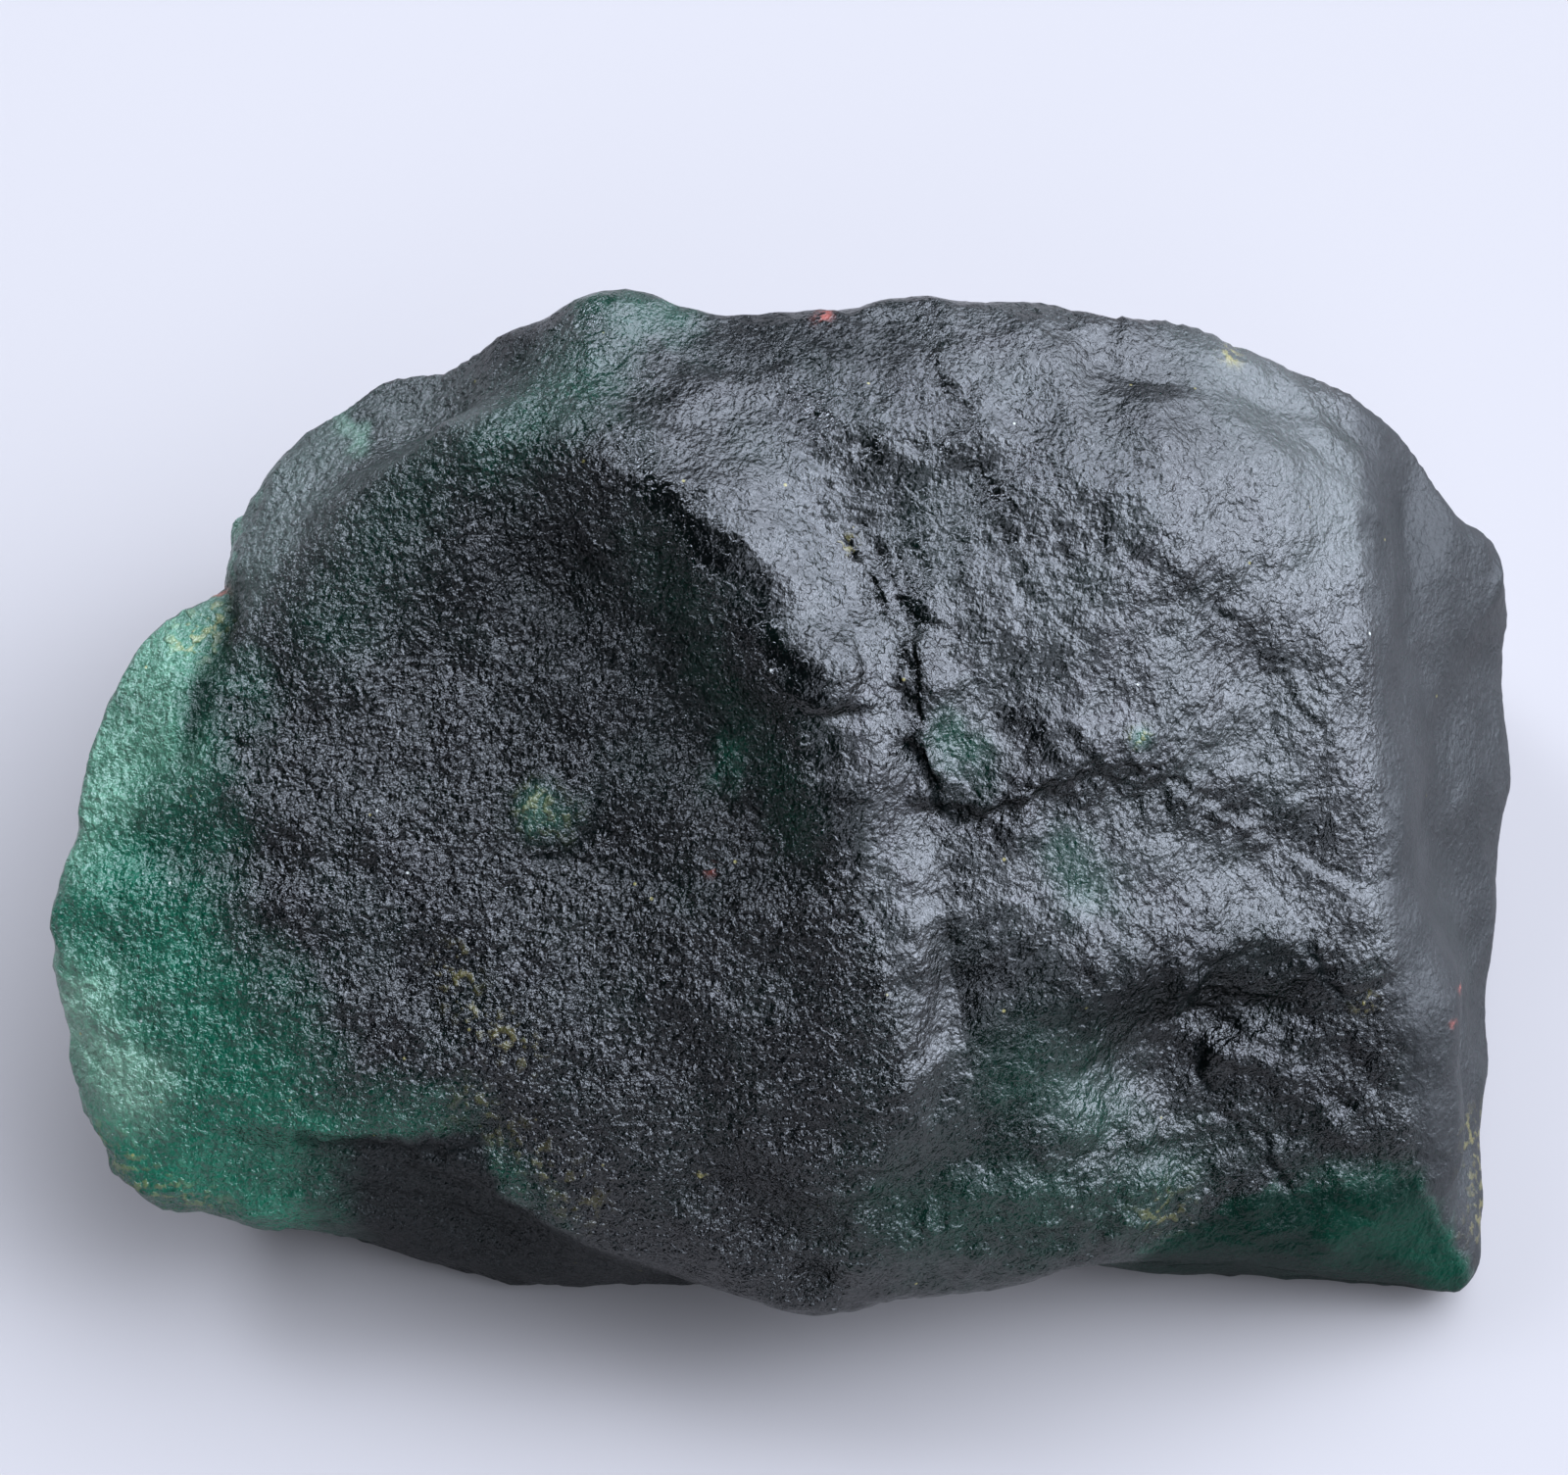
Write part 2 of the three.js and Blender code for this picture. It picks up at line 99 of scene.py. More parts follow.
class Grit:
    """Gradient noise over points in millimetres, the same on every run."""

    CELLS = 256
    LOUDNESS = 1.6
    LUMP_HEIGHT = 2.4
    LUMP_SINK = 0.6

    def __init__(self, seed: int) -> None:
        """Shuffles the slopes.

        Args:
            seed: Which noise this is.
        """
        dice = np.random.RandomState(seed)
        self.order = dice.permutation(self.CELLS)
        slopes = dice.normal(size=(self.CELLS, 3))
        self.slopes = slopes / np.linalg.norm(slopes, axis=1)[:, None]

    def _slope(self, cell: Array) -> Array:
        """Finds the slope kept for each cell corner.

        Args:
            cell: Three whole numbers for each corner.

        Returns:
            The slopes.
        """
        last = self.CELLS - 1
        pick = self.order[cell[:, 0] & last]
        pick = self.order[(pick + cell[:, 1]) & last]
        return self.slopes[self.order[(pick + cell[:, 2]) & last]]

    def wave(self, points: Array, size: float) -> Array:
        """Gives noise of about -1 to 1.

        Args:
            points: Where, in millimetres.
            size: The width of one cell, about half a wave.

        Returns:
            One number for each point.
        """
        place = points / size
        cell = np.floor(place).astype(int)
        part = place - cell
        fade = part * part * part * (part * (part * 6.0 - 15.0) + 10.0)
        total = np.zeros(len(points))
        for corner in np.ndindex(2, 2, 2):
            step = np.array(corner)
            share = np.where(step == 1, fade, 1.0 - fade).prod(axis=1)
            total += share * (self._slope(cell + step) * (part - step)).sum(axis=1)
        return total * self.LOUDNESS

    def lumps(self, points: Array, size: float) -> Array:
        """Gives rounded lumps with sharp valleys between them, about -0.5 to 1."""
        return np.abs(self.wave(points, size)) * self.LUMP_HEIGHT - self.LUMP_SINK


def layered(points: Array, layers: Layers) -> Array:
    """Adds up layers of noise, each given as its seed, the width of its cells and its height."""
    return sum(height * Grit(seed).wave(points, width) for seed, width, height in layers)


class Profile(Enum):
    """How the skin rises or falls beside a line."""

    GROOVE = "groove"
    RIDGE = "ridge"
    STEP = "step"


class Channel(Enum):
    """What each point of the skin tells the finish."""

    GREEN = "green"
    PALE = "pale"
    DULL = "dull"
    SLATE = "slate"
    OCHRE = "ochre"
    RUST = "rust"
    # painted shade: a near-black mixed over the skin that stands in for shade in cracks, hollows,
    # under the shelf, on the corner facet and on the end face
    DARK = "dark"
    GRAIN = "grain"


@dataclass(frozen=True)
class Mark:
    """A crack, ridge or step along a line of the face.

    A step stands on the left of its line and fades over the reach.
    """

    profile: Profile
    line: Line
    height: float
    width: float
    reach: float = 8.0
    # painted shade darkening the line of a crack or groove, from 0 to 1
    crack_shade: float = 0.0
    ragged: float = 0.8


@dataclass(frozen=True)
class Spot:
    """A round bump or dent in the face."""

    place: Span
    radius: float
    height: float


@dataclass(frozen=True)
class Patch:
    """A patch along a line, round a place or on the left of an edge, fading over its width."""

    line: Line
    width: float
    amount: float
    ragged: float = 1.0


class Chart:
    """The skin's points laid on the broad face, for measuring to lines and places."""

    def __init__(self, places: Array, front: Array) -> None:
        """Keeps u and v of each point, and how far it faces the side the lines are drawn on."""
        self.places = places
        self.front = front

    def measure(self, line: Line) -> tuple[Array, Array]:
        """Measures every point to a line.

        Args:
            line: Its corners, or one place.

        Returns:
            The distance, and the side, 1 on the left and -1 on the right.
        """
        nearest = np.full(len(self.places), np.inf)
        side = np.ones(len(self.places))
        corners = [np.array(corner, dtype=float) for corner in line]
        for start, end in zip(corners, corners[1:] or corners):
            span = end - start
            size = max(float(span @ span), TINY)
            along = np.clip(((self.places - start) @ span) / size, 0.0, 1.0)
            gap = self.places - (start + along[:, None] * span)
            distance = np.hypot(gap[:, 0], gap[:, 1])
            closer = distance < nearest
            nearest[closer] = distance[closer]
            turn = span[0] * gap[:, 1] - span[1] * gap[:, 0]
            side[closer] = np.where(turn[closer] < 0.0, -1.0, 1.0)
        return nearest, side

    def near(self, line: Line, width: float) -> Array:
        """Gives 1 on a line, fading over the width on both sides of it."""
        return hump(self.measure(line)[0], width)

    def left(self, line: Line, low: float, high: float) -> Array:
        """Gives 1 on the left of a line and 0 on its right, eased between two distances."""
        distance, side = self.measure(line)
        return ease(low, high, distance * side)

    def right(self, line: Line, low: float, high: float) -> Array:
        """Gives 1 on the right of a line and 0 on its left, eased between two distances."""
        distance, side = self.measure(line)
        return ease(low, high, -distance * side)

    def rise(self, mark: Mark) -> Array:
        """Works out the height that a mark adds.

        Args:
            mark: The crack, ridge or step.

        Returns:
            The height at every point.
        """
        distance, side = self.measure(mark.line)
        if mark.profile is Profile.STEP:
            across = distance * side
            fall = np.exp(-np.maximum(across, 0.0) / mark.reach)
            ends = hump(np.maximum(distance - mark.reach, 0.0), mark.reach)
            height = mark.height * ease(-mark.width, mark.width, across) * fall * ends
        else:
            turn = -1.0 if mark.profile is Profile.GROOVE else 1.0
            height = turn * mark.height * hump(distance, mark.width)
        return height * self.front


class FineSkin:
    """A closed triangle mesh in millimetres that can be cut finer and eased."""

    SEAT_REACH = 0.05
    EASE = 0.5
    EASE_BACK = -0.52
    JOINING_DECIMALS = 3

    def __init__(self, points: Array, corners: Array) -> None:
        """Keeps the points and, for each triangle, the numbers of its three corners."""
        self.points = points
        self.corners = corners

    @classmethod
    def of_node(cls, node: bpy.types.Object) -> "FineSkin":
        """Copies a CAD node's mesh, with doubled points joined.

        Args:
            node: The CAD node's object.

        Returns:
            The skin, cut no finer than the node.
        """
        mesh = node.data
        mesh.calc_loop_triangles()
        points = np.empty(len(mesh.vertices) * 3)
        mesh.vertices.foreach_get("co", points)
        corners = np.empty(len(mesh.loop_triangles) * 3, dtype=int)
        mesh.loop_triangles.foreach_get("vertices", corners)
        points = points.reshape(-1, 3) / MM
        _, first, same = np.unique(
            np.round(points, cls.JOINING_DECIMALS), axis=0, return_index=True, return_inverse=True
        )
        return cls(points[first], same.reshape(-1)[corners].reshape(-1, 3))

    def normals(self) -> Array:
        """Works out which way the skin faces.

        Returns:
            The unit normal at every point.
        """
        a, b, c = (self.points[self.corners[:, i]] for i in range(3))
        flat = np.cross(b - a, c - a)
        total = sum(self._sums(i, flat) for i in range(3))
        return total / np.maximum(np.linalg.norm(total, axis=1), TINY)[:, None]

    def _sums(self, corner: int, amounts: Array) -> Array:
        """Adds up three amounts of each triangle at the point on one of its corners."""
        here, count = self.corners[:, corner], len(self.points)
        return np.stack([np.bincount(here, part, count) for part in amounts.T], axis=1)

    def seated(self) -> Array:
        """Tells which points lie on the seat."""
        return self.points[:, 2] < self.SEAT_REACH

    def ease_once(self, weight: float) -> None:
        """Moves every point towards its neighbours' middle, with the seat kept flat.

        Args:
            weight: The share of the way, below 0 for away from it.
        """
        total = np.zeros_like(self.points)
        for i in range(3):
            for step in (1, 2):
                total += self._sums(i, self.points[self.corners[:, (i + step) % 3]])
        share = 2.0 * np.bincount(self.corners.reshape(-1), minlength=len(self.points))
        move = (total / share[:, None] - self.points) * weight
        move[self.seated(), 2] = 0.0
        self.points = self.points + move

    def smooth(self) -> None:
        """Eases the facets without shrinking the stone."""
        self.ease_once(self.EASE)
        self.ease_once(self.EASE_BACK)

    def cut(self, limit: Array) -> int:
        """Halves each side that is longer than its limit.

        Args:
            limit: The longest side wanted near each point.

        Returns:
            How many sides were cut.
        """
        pairs = self.corners[:, [0, 1, 1, 2, 2, 0]].reshape(-1, 2)
        sides, number = np.unique(np.sort(pairs, axis=1), axis=0, return_inverse=True)
        number = number.reshape(-1, 3)
        start, end = sides[:, 0], sides[:, 1]
        length = np.linalg.norm(self.points[start] - self.points[end], axis=1)
        chosen = length > (limit[start] + limit[end]) / 2.0
        longest = number[np.arange(len(number)), length[number].argmax(axis=1)]
        while True:
            wanted = longest[chosen[number].any(axis=1)]
            if chosen[wanted].all():
                break
            chosen[wanted] = True
        middle = np.full(len(sides), -1)
        middle[chosen] = len(self.points) + np.arange(int(chosen.sum()))
        self.points = np.vstack(
            [self.points, (self.points[start[chosen]] + self.points[end[chosen]]) / 2.0]
        )
        self.corners = self._cut_triangles(middle[number])
        return int(chosen.sum())

    def _cut_triangles(self, middle: Array) -> Array:
        """Cuts the triangles whose sides have a new middle point.

        Args:
            middle: The new point on each triangle's three sides, or -1.

        Returns:
            The new triangles.
        """
        split = middle >= 0
        count = split.sum(axis=1)
        made = [self.corners[count == 0]]
        for first in range(3):
            a, b, c = (self.corners[:, (first + i) % 3] for i in range(3))
            ab, bc, _ = (middle[:, (first + i) % 3] for i in range(3))
            one = (count == 1) & split[:, first]
            two = (count == 2) & ~split[:, (first + 2) % 3]
            across = np.linalg.norm(self.points[a] - self.points[bc], axis=1)
            other = np.linalg.norm(self.points[ab] - self.points[c], axis=1)
            near, far = two & (across < other), two & (across >= other)
            for triangle, chosen in (
                ((a, ab, c), one), ((ab, b, c), one), ((ab, b, bc), two), ((a, ab, bc), near),
                ((a, bc, c), near), ((a, ab, c), far), ((ab, bc, c), far),
            ):
                made.append(np.stack(triangle, axis=1)[chosen])
        three = count == 3
        a, b, c = self.corners[three].T
        ab, bc, ca = middle[three].T
        for triangle in ((a, ab, ca), (ab, b, bc), (ca, bc, c), (ab, bc, ca)):
            made.append(np.stack(triangle, axis=1))
        return np.vstack(made)

    def to_object(self, name: str) -> bpy.types.Object:
        """Makes the mesh object, in metres, with smooth shading.

        Args:
            name: The object's name.

        Returns:
            The object, in the scene.
        """
        mesh = bpy.data.meshes.new(name)
        mesh.vertices.add(len(self.points))
        mesh.vertices.foreach_set("co", (self.points * MM).reshape(-1))
        mesh.loops.add(self.corners.size)
        mesh.loops.foreach_set("vertex_index", self.corners.reshape(-1).astype(np.int32))
        mesh.polygons.add(len(self.corners))
        mesh.polygons.foreach_set("loop_start", np.arange(0, self.corners.size, 3, dtype=np.int32))
        mesh.update(calc_edges=True)
        mesh.polygons.foreach_set("use_smooth", np.ones(len(self.corners), dtype=bool))
        mesh.validate()
        piece = bpy.data.objects.new(name, mesh)
        bpy.context.scene.collection.objects.link(piece)
        return piece


LEDGE: Line = (
    (8.8, 24.5), (10.8, 21.3), (12.3, 17), (13, 13.8), (13.1, 8.5), (13.5, 4.5),
    (15, 0.8), (17.5, -2.2), (20, -0.9), (23.5, -0.4), (26.5, 0.1), (30.5, 2.2),
    (34, 3), (36.5, 2.1), (40.5, 1), (44.5, -1.3),
)
LEDGE_CRACK: Line = ((13, 5), (14, 3), (14.8, 1.4), (16, -1), (17.9, -2.5))
ARCH: Line = ((31.5, 2.6), (30, 5.4), (28.9, 7.6), (27.6, 8.6), (25.8, 8.5))
LOBE_EDGE: Line = (
    (-57, 21.5), (-57.5, 18.5), (-59, 14.5), (-60, 10), (-61.5, 4),
    (-65.5, -1.5), (-72.5, -6.5), (-84, -10),
)
CREST: Line = (
    (-19, 44), (-15.5, 32.5), (-10.5, 25.5), (-6, 21), (-2, 16), (1, 8.5),
    (3.5, -1.5), (7.5, -8.5), (12, -21), (13, -29.5), (10, -37.5), (7.5, -46),
)
GREEN_REACH: Line = (
    (-59, 13), (-60.5, 2), (-60, -8), (-54.5, -19), (-47, -30),
    (-37, -36), (-30, -41), (-28, -60),
)
SHELF_EDGE: Line = (
    (-52, -60), (-51.5, -40), (-49, -35.5), (-41, -35), (-31, -34.3),
    (-28.5, -41), (-24, -44), (-16, -48.5), (-9, -51), (-9, -60),
)
CORNER_TOP: Line = (
    (30, -51), (38.5, -48), (43, -44.3), (50.5, -41.3), (59, -40.8), (67, -40),
    (73.5, -51),
)
END_EDGE: Line = (
    (76, -60), (73, -51), (67.5, -39.2), (65, -28.6), (63.6, -19.2), (62.3, -4),
    (61, 17.5), (60.6, 40), (60.5, 50),
)


@dataclass
class RawEmerald:
    """The stone's skin: the CAD solid cut fine, weathered, cracked and coloured."""

    face: BroadFace
    node: str = "raw_emerald"
    name: str = "raw_emerald_stone"
    fine_side: float = 0.88
    flank_side: float = 2.6
    seat_side: float = 5.0
    fine_where: Span = (-0.35, 0.3)
    rounds: int = 9
    easing_rounds: int = 5
    few_sides: int = 200
    mending_rounds: tuple[int, ...] = (1, 2, 3)
    mended: tuple[Line, ...] = (
        ((-66, -1.5), (-73, -4.5), (-80, -7)),
        ((-58, -9), (-50, -11), (-40, -12), (-32, -10)),
    )
    mend_width: float = 5.0
    mend_turns: int = 6
    seen_where: Span = (-0.2, 0.12)
    rust_where: Span = (0.0, 0.25)
    strays: tuple[Layers, Layers] = (
        ((71, 2.2, 1.0), (73, 0.9, 0.5)),
        ((72, 2.2, 1.0), (74, 0.9, 0.5)),
    )
    lumps_ragged: float = 1.0
    spots_ragged: float = 0.4
    shelf_ragged: float = 0.4
    wide_ragged: float = 1.1
    tight_ragged: float = 0.3
    lumps: Layers = ((20, 5.2, 0.16), (21, 2.8, 0.085), (22, 1.5, 0.05))
    lump_level: float = 0.85
    lump_swing: Layers = ((5, 14.0, 0.3),)
    held_height: float = 2.5
    marks: tuple[Mark, ...] = (
        Mark(Profile.GROOVE, LEDGE_CRACK, 0.8, 0.35, crack_shade=1),
        Mark(Profile.STEP, LEDGE, -1.1, 0.8, reach=14, ragged=0),
        Mark(Profile.STEP, LEDGE, 0.7, 0.8, reach=9, ragged=2.4),
        Mark(Profile.GROOVE, ARCH, 0.3, 0.6, crack_shade=0.2),
        Mark(Profile.STEP, ((35, 47), (34, 41), (33.5, 33.5)), 0.6, 2.2, reach=9),
        Mark(Profile.STEP, ((18, 40), (21.5, 31.5), (23, 27.5)), 0.55, 2.2, reach=9),
        Mark(Profile.STEP, ((22, 33), (29, 30.5), (38, 25), (45, 20), (51, 13)),
             0.6, 3.5, reach=12),
        Mark(Profile.GROOVE, ((42, 20.5), (46, 18.5)), 0.4, 0.3, crack_shade=0.9),
        Mark(Profile.RIDGE, ((8.5, 41.5), (10.5, 35), (16.5, 34), (21, 37)), 0.35, 1.2),
        Mark(Profile.GROOVE, ((15.9, -3.8), (16.2, -16), (15.9, -31.7)), 0.25, 1.8),
        Mark(Profile.GROOVE, ((54, -15.5), (55.5, -17), (56.5, -19.5), (58, -20.5)),
             0.6, 0.4, crack_shade=1),
        Mark(Profile.GROOVE, ((43.5, -26), (43.5, -28.5), (44, -30.5), (45, -31)),
             0.5, 0.4, crack_shade=0.9),
        Mark(Profile.GROOVE, ((51, -36), (51, -38), (53, -41)), 0.5, 0.4, crack_shade=0.9),
        Mark(Profile.STEP, ((30, -27), (38, -24.5), (45, -27)), 0.7, 1, reach=6),
        Mark(Profile.STEP, ((44, -35), (51, -33.5), (58, -36)), 0.6, 1, reach=6),
        Mark(Profile.GROOVE, ((-18.5, 0), (-19, -3.5), (-20.5, -5), (-22.5, -6.5),
                              (-25, -6.5)), 0.45, 0.45, crack_shade=0.7),
        Mark(Profile.GROOVE, ((-18.5, -7), (-12.5, -9), (-8.5, -8.2), (3, -8)),
             0.3, 0.8, crack_shade=0.3),
        Mark(Profile.GROOVE, LOBE_EDGE[:5], 0.7, 1.1, crack_shade=0.55),
        Mark(Profile.RIDGE, ((-55, 1), (-60, -10), (-65, -21)), 0.4, 1.3),
        Mark(Profile.RIDGE, ((-47, -5), (-52, -15), (-56, -25)), 0.35, 1.4),
        Mark(Profile.RIDGE, ((-51, -1), (-57, -14), (-61, -23)), 0.3, 0.9),
        Mark(Profile.GROOVE, ((-50, -35.8), (-41, -36.3), (-31.5, -36.5)), 0.5, 0.7, crack_shade=0.6),
        Mark(Profile.STEP, ((-48, -42.5), (-44, -40), (-38, -38.8), (-29, -39.5)),
             0.8, 0.8, reach=6),
    )
    crumples: tuple[Patch, ...] = (
        Patch(((13.5, 21), (15, 12), (15.5, 4)), 3, 1),
        Patch(((18, -3), (26, -1), (34, 1), (43, -2)), 2.6, 1),
        Patch(((25, 29), (37, 24), (47, 17)), 5, 0.5),
        Patch(((24, 42), (27, 34)), 3.5, 0.4),
        Patch(((42, -20), (52, -23), (57, -30)), 7, 1.5),
        Patch(((30, -36), (42, -34), (56, -34)), 6, 0.8),
        Patch(((-46, -42), (-36, -42), (-26, -47)), 4, 1.2),
        Patch(((8, -45), (14, -44.5), (26, -45), (38, -43)), 6, 1.8),
        Patch(((30, -22.5), (38.5, -19.5), (46.5, -16.5), (54, -17.5)), 3.5, 1.5),
        Patch(((-8, 46), (4, 45)), 3.5, 0.7),
        Patch(((-27, 26), (-20, 12)), 7, 0.6),
        Patch(((-10, 4), (-4, -8)), 4, 0.6),
    )
    worn: tuple[Patch, ...] = (
        Patch(((-48, 38), (-56, 25)), 7, 0.15),
        Patch(((50, 42), (57, 25)), 9, 0.45),
        Patch(((-70, -36), (-60, -41), (-50, -42)), 4.5, 0.6),
    )
    worn_end: float = 0.85
    worn_facet: float = 0.6
    worn_shelf: float = 0.3
    worn_crest: Patch = Patch(CREST[3:10], 3.5, 0.15)
    worn_end_where: Span = (-1.0, 1.5)
    worn_facet_where: Span = (-0.5, 1.0)
    crest_where: Span = (-1.5, 1.5)
    shelf_where: Span = (-0.5, 0.9)
    facet_side: float = 30.0
    fibre_stretch: float = 4.0
    fibre_layers: Layers = ((90, 1.3, 0.2),)
    fibre_way: Span = (-0.42, -0.91)
    fibre_edge: Span = (-42.0, -52.0)
    spots: tuple[Spot, ...] = (
        Spot((-24.5, -1.5), 2.8, 0.5),
        Spot((60.5, -21.5), 0.95, 0.45),
        Spot((23, 27.5), 0.5, 0.25),
        Spot((9, 35.5), 1.3, -0.45),
        Spot((14, 35.5), 1.2, -0.4),
        Spot((21, 25), 1.1, -0.35),
        Spot((28.5, 25), 1.3, -0.4),
        Spot((13.5, 17), 0.9, -0.35),
        Spot((10.5, 22), 0.9, -0.35),
        Spot((3, -49.5), 1.6, -0.6),
        Spot((39, -19), 2, -0.5),
        Spot((44, -20), 1.8, -0.5),
        Spot((50, -22), 1.9, -0.5),
        Spot((46, -24), 1.8, -0.5),
        Spot((54, -28), 2, -0.5),
        Spot((59, -27), 1.6, -0.4),
        Spot((59, -32), 1.8, -0.4),
    )
    clouds: Layers = ((40, 7.0, 1.0), (41, 2.6, 0.6))
    edge_cloud: float = 0.35
    patch_cloud: float = 0.25
    # how far the painted crack shade spreads, as a share of a mark's width
    crack_shade_spread: float = 1.1
    end_where: Span = (-1.5, 1.5)
    foot_where: Span = (-1.0, 0.5)
    facet_where: Span = (-0.3, 1.0)
    shelf_end: Span = (-52.0, -42.0)
    shelf_cloud: float = 1.5
    shelf_slate: float = 0.35
    # painted shade under the overhanging shelf, on the down-facing corner facet and on the end face
    shelf_painted_shade: float = 0.45
    facet_painted_shade: float = 0.72
    facet_end: Span = (28.0, 40.0)
    end_painted_shade: float = 0.28
    end_cloud: float = 0.35
    end_limits: Span = (0.4, 1.6)
    basin_grain: float = 1.65
    crest_drop: float = 1.0
    calm_grain: float = 0.65
    lump_grain: float = 0.4
    most_told: float = 2.0
    edges: tuple[tuple[Channel, Patch], ...] = (
        (Channel.GREEN, Patch(LOBE_EDGE[::-1], 1.6, 0.75)),
        (Channel.PALE, Patch(LOBE_EDGE[::-1], 6, 0.5)),
        (Channel.GREEN, Patch(GREEN_REACH[::-1], 9, 0.7)),
        (Channel.GREEN, Patch(CORNER_TOP[::-1], 1.2, 0.3)),
    )
    patches: tuple[tuple[Channel, tuple[Patch, ...]], ...] = (
        (Channel.GREEN, (
            Patch(((-24.5, -1.5),), 2.7, 0.3),
            Patch(((-72.5, -23.5), (-67.5, -28), (-63, -32.5)), 5.5, 0.5),
            Patch(((-72.5, -32.5), (-66.5, -39), (-58, -41.5), (-51.5, -44)), 4.5, 1),
            Patch(((-57.5, 25.5), (-56.5, 30), (-54, 34)), 1.5, 0.5),
            Patch(((-16, 48.5), (-20, 51), (-10.5, 49.5)), 2.6, 0.22),
            Patch(((61, -46), (66.5, -46.5), (71.5, -51.5)), 5, 0.75),
            Patch(((72, -12), (73, -28), (74.5, -40), (74, -50)), 4, 0.3),
            Patch(((14, -43), (26, -43), (38, -41)), 6, 0.18),
            Patch(((25, -28), (32, -33)), 5, 0.16),
            Patch(((-48, 38), (-54, 28), (-57, 22)), 4, 0.16),
            Patch(((17.5, 6.5), (19, 4)), 2, 0.22),
            Patch(((-5.5, 2.5), (-4.5, 5)), 1.6, 0.3),
            Patch(((-8, 14), (-4, 8), (0, 2), (2, -4)), 2.2, 0.1),
            Patch(((-14, 26), (-9, 18)), 2.6, 0.07),
            Patch(((31, -10), (29, -5)), 2.5, 0.16),
            Patch(((-30, 36), (-20, 44)), 4.5, 0.18),
            Patch(((-46, 18), (-36, 34)), 5, 0.1),
            Patch(((36.5, 6),), 0.9, 0.5, 0.4),
            Patch(((-43.5, 38), (-44, 36.5), (-47.5, 42)), 1.1, 0.45),
        )),
        (Channel.OCHRE, (
            Patch(((-24.5, -1.5),), 2.4, 0.3),
            Patch(((-72, -36), (-66, -41), (-60, -43)), 2, 0.35),
            Patch(((-59.5, 18.5), (-61, 16)), 1.8, 0.5),
            Patch(((40, -43.5),), 2.2, 0.35),
            Patch(((74.5, -36), (75.5, -41.5), (75, -46.5)), 1.8, 0.4),
            Patch(((36.5, 6),), 0.9, 0.5, 0.4),
            Patch(((-33.5, -17.5), (-30.5, -23.5), (-25, -26)), 1.6, 0.25),
            Patch(((-31, -32), (-24, -38), (-20, -42)), 2.2, 0.15),
            Patch(((-8, -39),), 0.5, 0.9, 0.3),
            Patch(((-23.5, -39),), 0.6, 0.8, 0.3),
            Patch(((47, 46),), 1, 0.7, 0.4),
            Patch(((7, 25.5),), 0.8, 0.6, 0.3),
            Patch(((60.5, -21.5),), 0.85, 0.9, 0.1),
        )),
        (Channel.PALE, (
            Patch(((-24.5, -1.5),), 2.4, 0.4),
            Patch(((-74.5, -21), (-71, -26), (-68, -30)), 4.2, 1),
            Patch(((-43.5, 38), (-44, 36.5), (-47.5, 42)), 1.2, 0.7),
            Patch(((60.5, -21.5),), 0.8, 1, 0.1),
            Patch(((23, 27.5),), 0.45, 1, 0.1),
            Patch(((-30.5, -0.5),), 0.4, 1, 0.1),
        )),
        (Channel.RUST, (
            Patch(((-59.6, 21.9), (-58.6, 21.4)), 0.75, 1, 0.4),
            Patch(((4.5, 49.5),), 0.7, 0.8, 0.3),
            Patch(((-7, -7.5),), 0.5, 0.5, 0.3),
            Patch(((71.5, -20.5),), 0.35, 0.8, 0.2),
            Patch(((70.5, -24),), 0.35, 0.8, 0.2),
        )),
        # painted shade: listed patches along the lower rim, the brow and floor of the hollow, the
        # top edge, the flutes and the upper basin, darkened to stand in for shade
        (Channel.DARK, (
            Patch(((12, -43), (26, -44.5), (38, -42.5)), 4, 0.2),
            Patch(((30, -22.5), (38.5, -19.5), (46.5, -16.5), (54, -17.5)), 2.5, 0.45),
            Patch(((-50, 38), (-40, 42), (-28, 46)), 4, 0.3),
            Patch(((-6, 46.5), (10, 46)), 3.5, 0.35),
            Patch(((38, 40), (47, 38), (54, 33)), 7, 0.15),
            Patch(((-30, 24), (-20, 18), (-12, 8)), 10, 0.25),
            Patch(((44, -20), (50, -24), (56, -29), (57, -36)), 6, 0.15),
            Patch(((-1.5, 45.5), (-6, 46.5)), 3.5, 0.2),
        )),
        (Channel.DULL, (
            Patch(((-48, 36), (-52, 30), (-56, 24)), 5.5, 0.5),
            Patch(((-34, 43), (-40, 40)), 4.5, 0.45),
            Patch(((48, 44), (54, 36), (58, 30)), 6, 0.35),
        )),
    )

    def cut_fine(self) -> FineSkin:
        """Cuts the CAD solid fine, most of all on the side that leans up.

        Returns:
            The skin, still without its small relief.
        """
        skin = FineSkin.of_node(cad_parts[self.node])
        for turn in range(self.rounds):
            shown = ease(*self.fine_where, self.facing(skin))
            limit = self.flank_side + (self.fine_side - self.flank_side) * shown
            done = skin.cut(np.where(skin.seated(), self.seat_side, limit))
            if turn < self.easing_rounds:
                skin.smooth()
            if turn in self.mending_rounds:
                self.mend(skin)
            log.info("cut %d: %d sides, %d triangles", turn, done, len(skin.corners))
            if done < self.few_sides:
                break
        return skin

    def mend(self, skin: FineSkin) -> None:
        """Rounds over the notches and hard creases that the CAD's edges leave.

        Args:
            skin: The skin, still cut coarse.
        """
        chart = self.chart(skin, 0.0)
        share = np.maximum.reduce([chart.near(line, self.mend_width) for line in self.mended])
        for _ in range(self.mend_turns):
            before = skin.points.copy()
            skin.ease_once(skin.EASE)
            skin.points = before + (skin.points - before) * share[:, None]

    def facing(self, skin: FineSkin) -> Array:
        """Gives how far every point looks straight out of the broad face, at most 1."""
        return skin.normals() @ self.face.axes()[2]

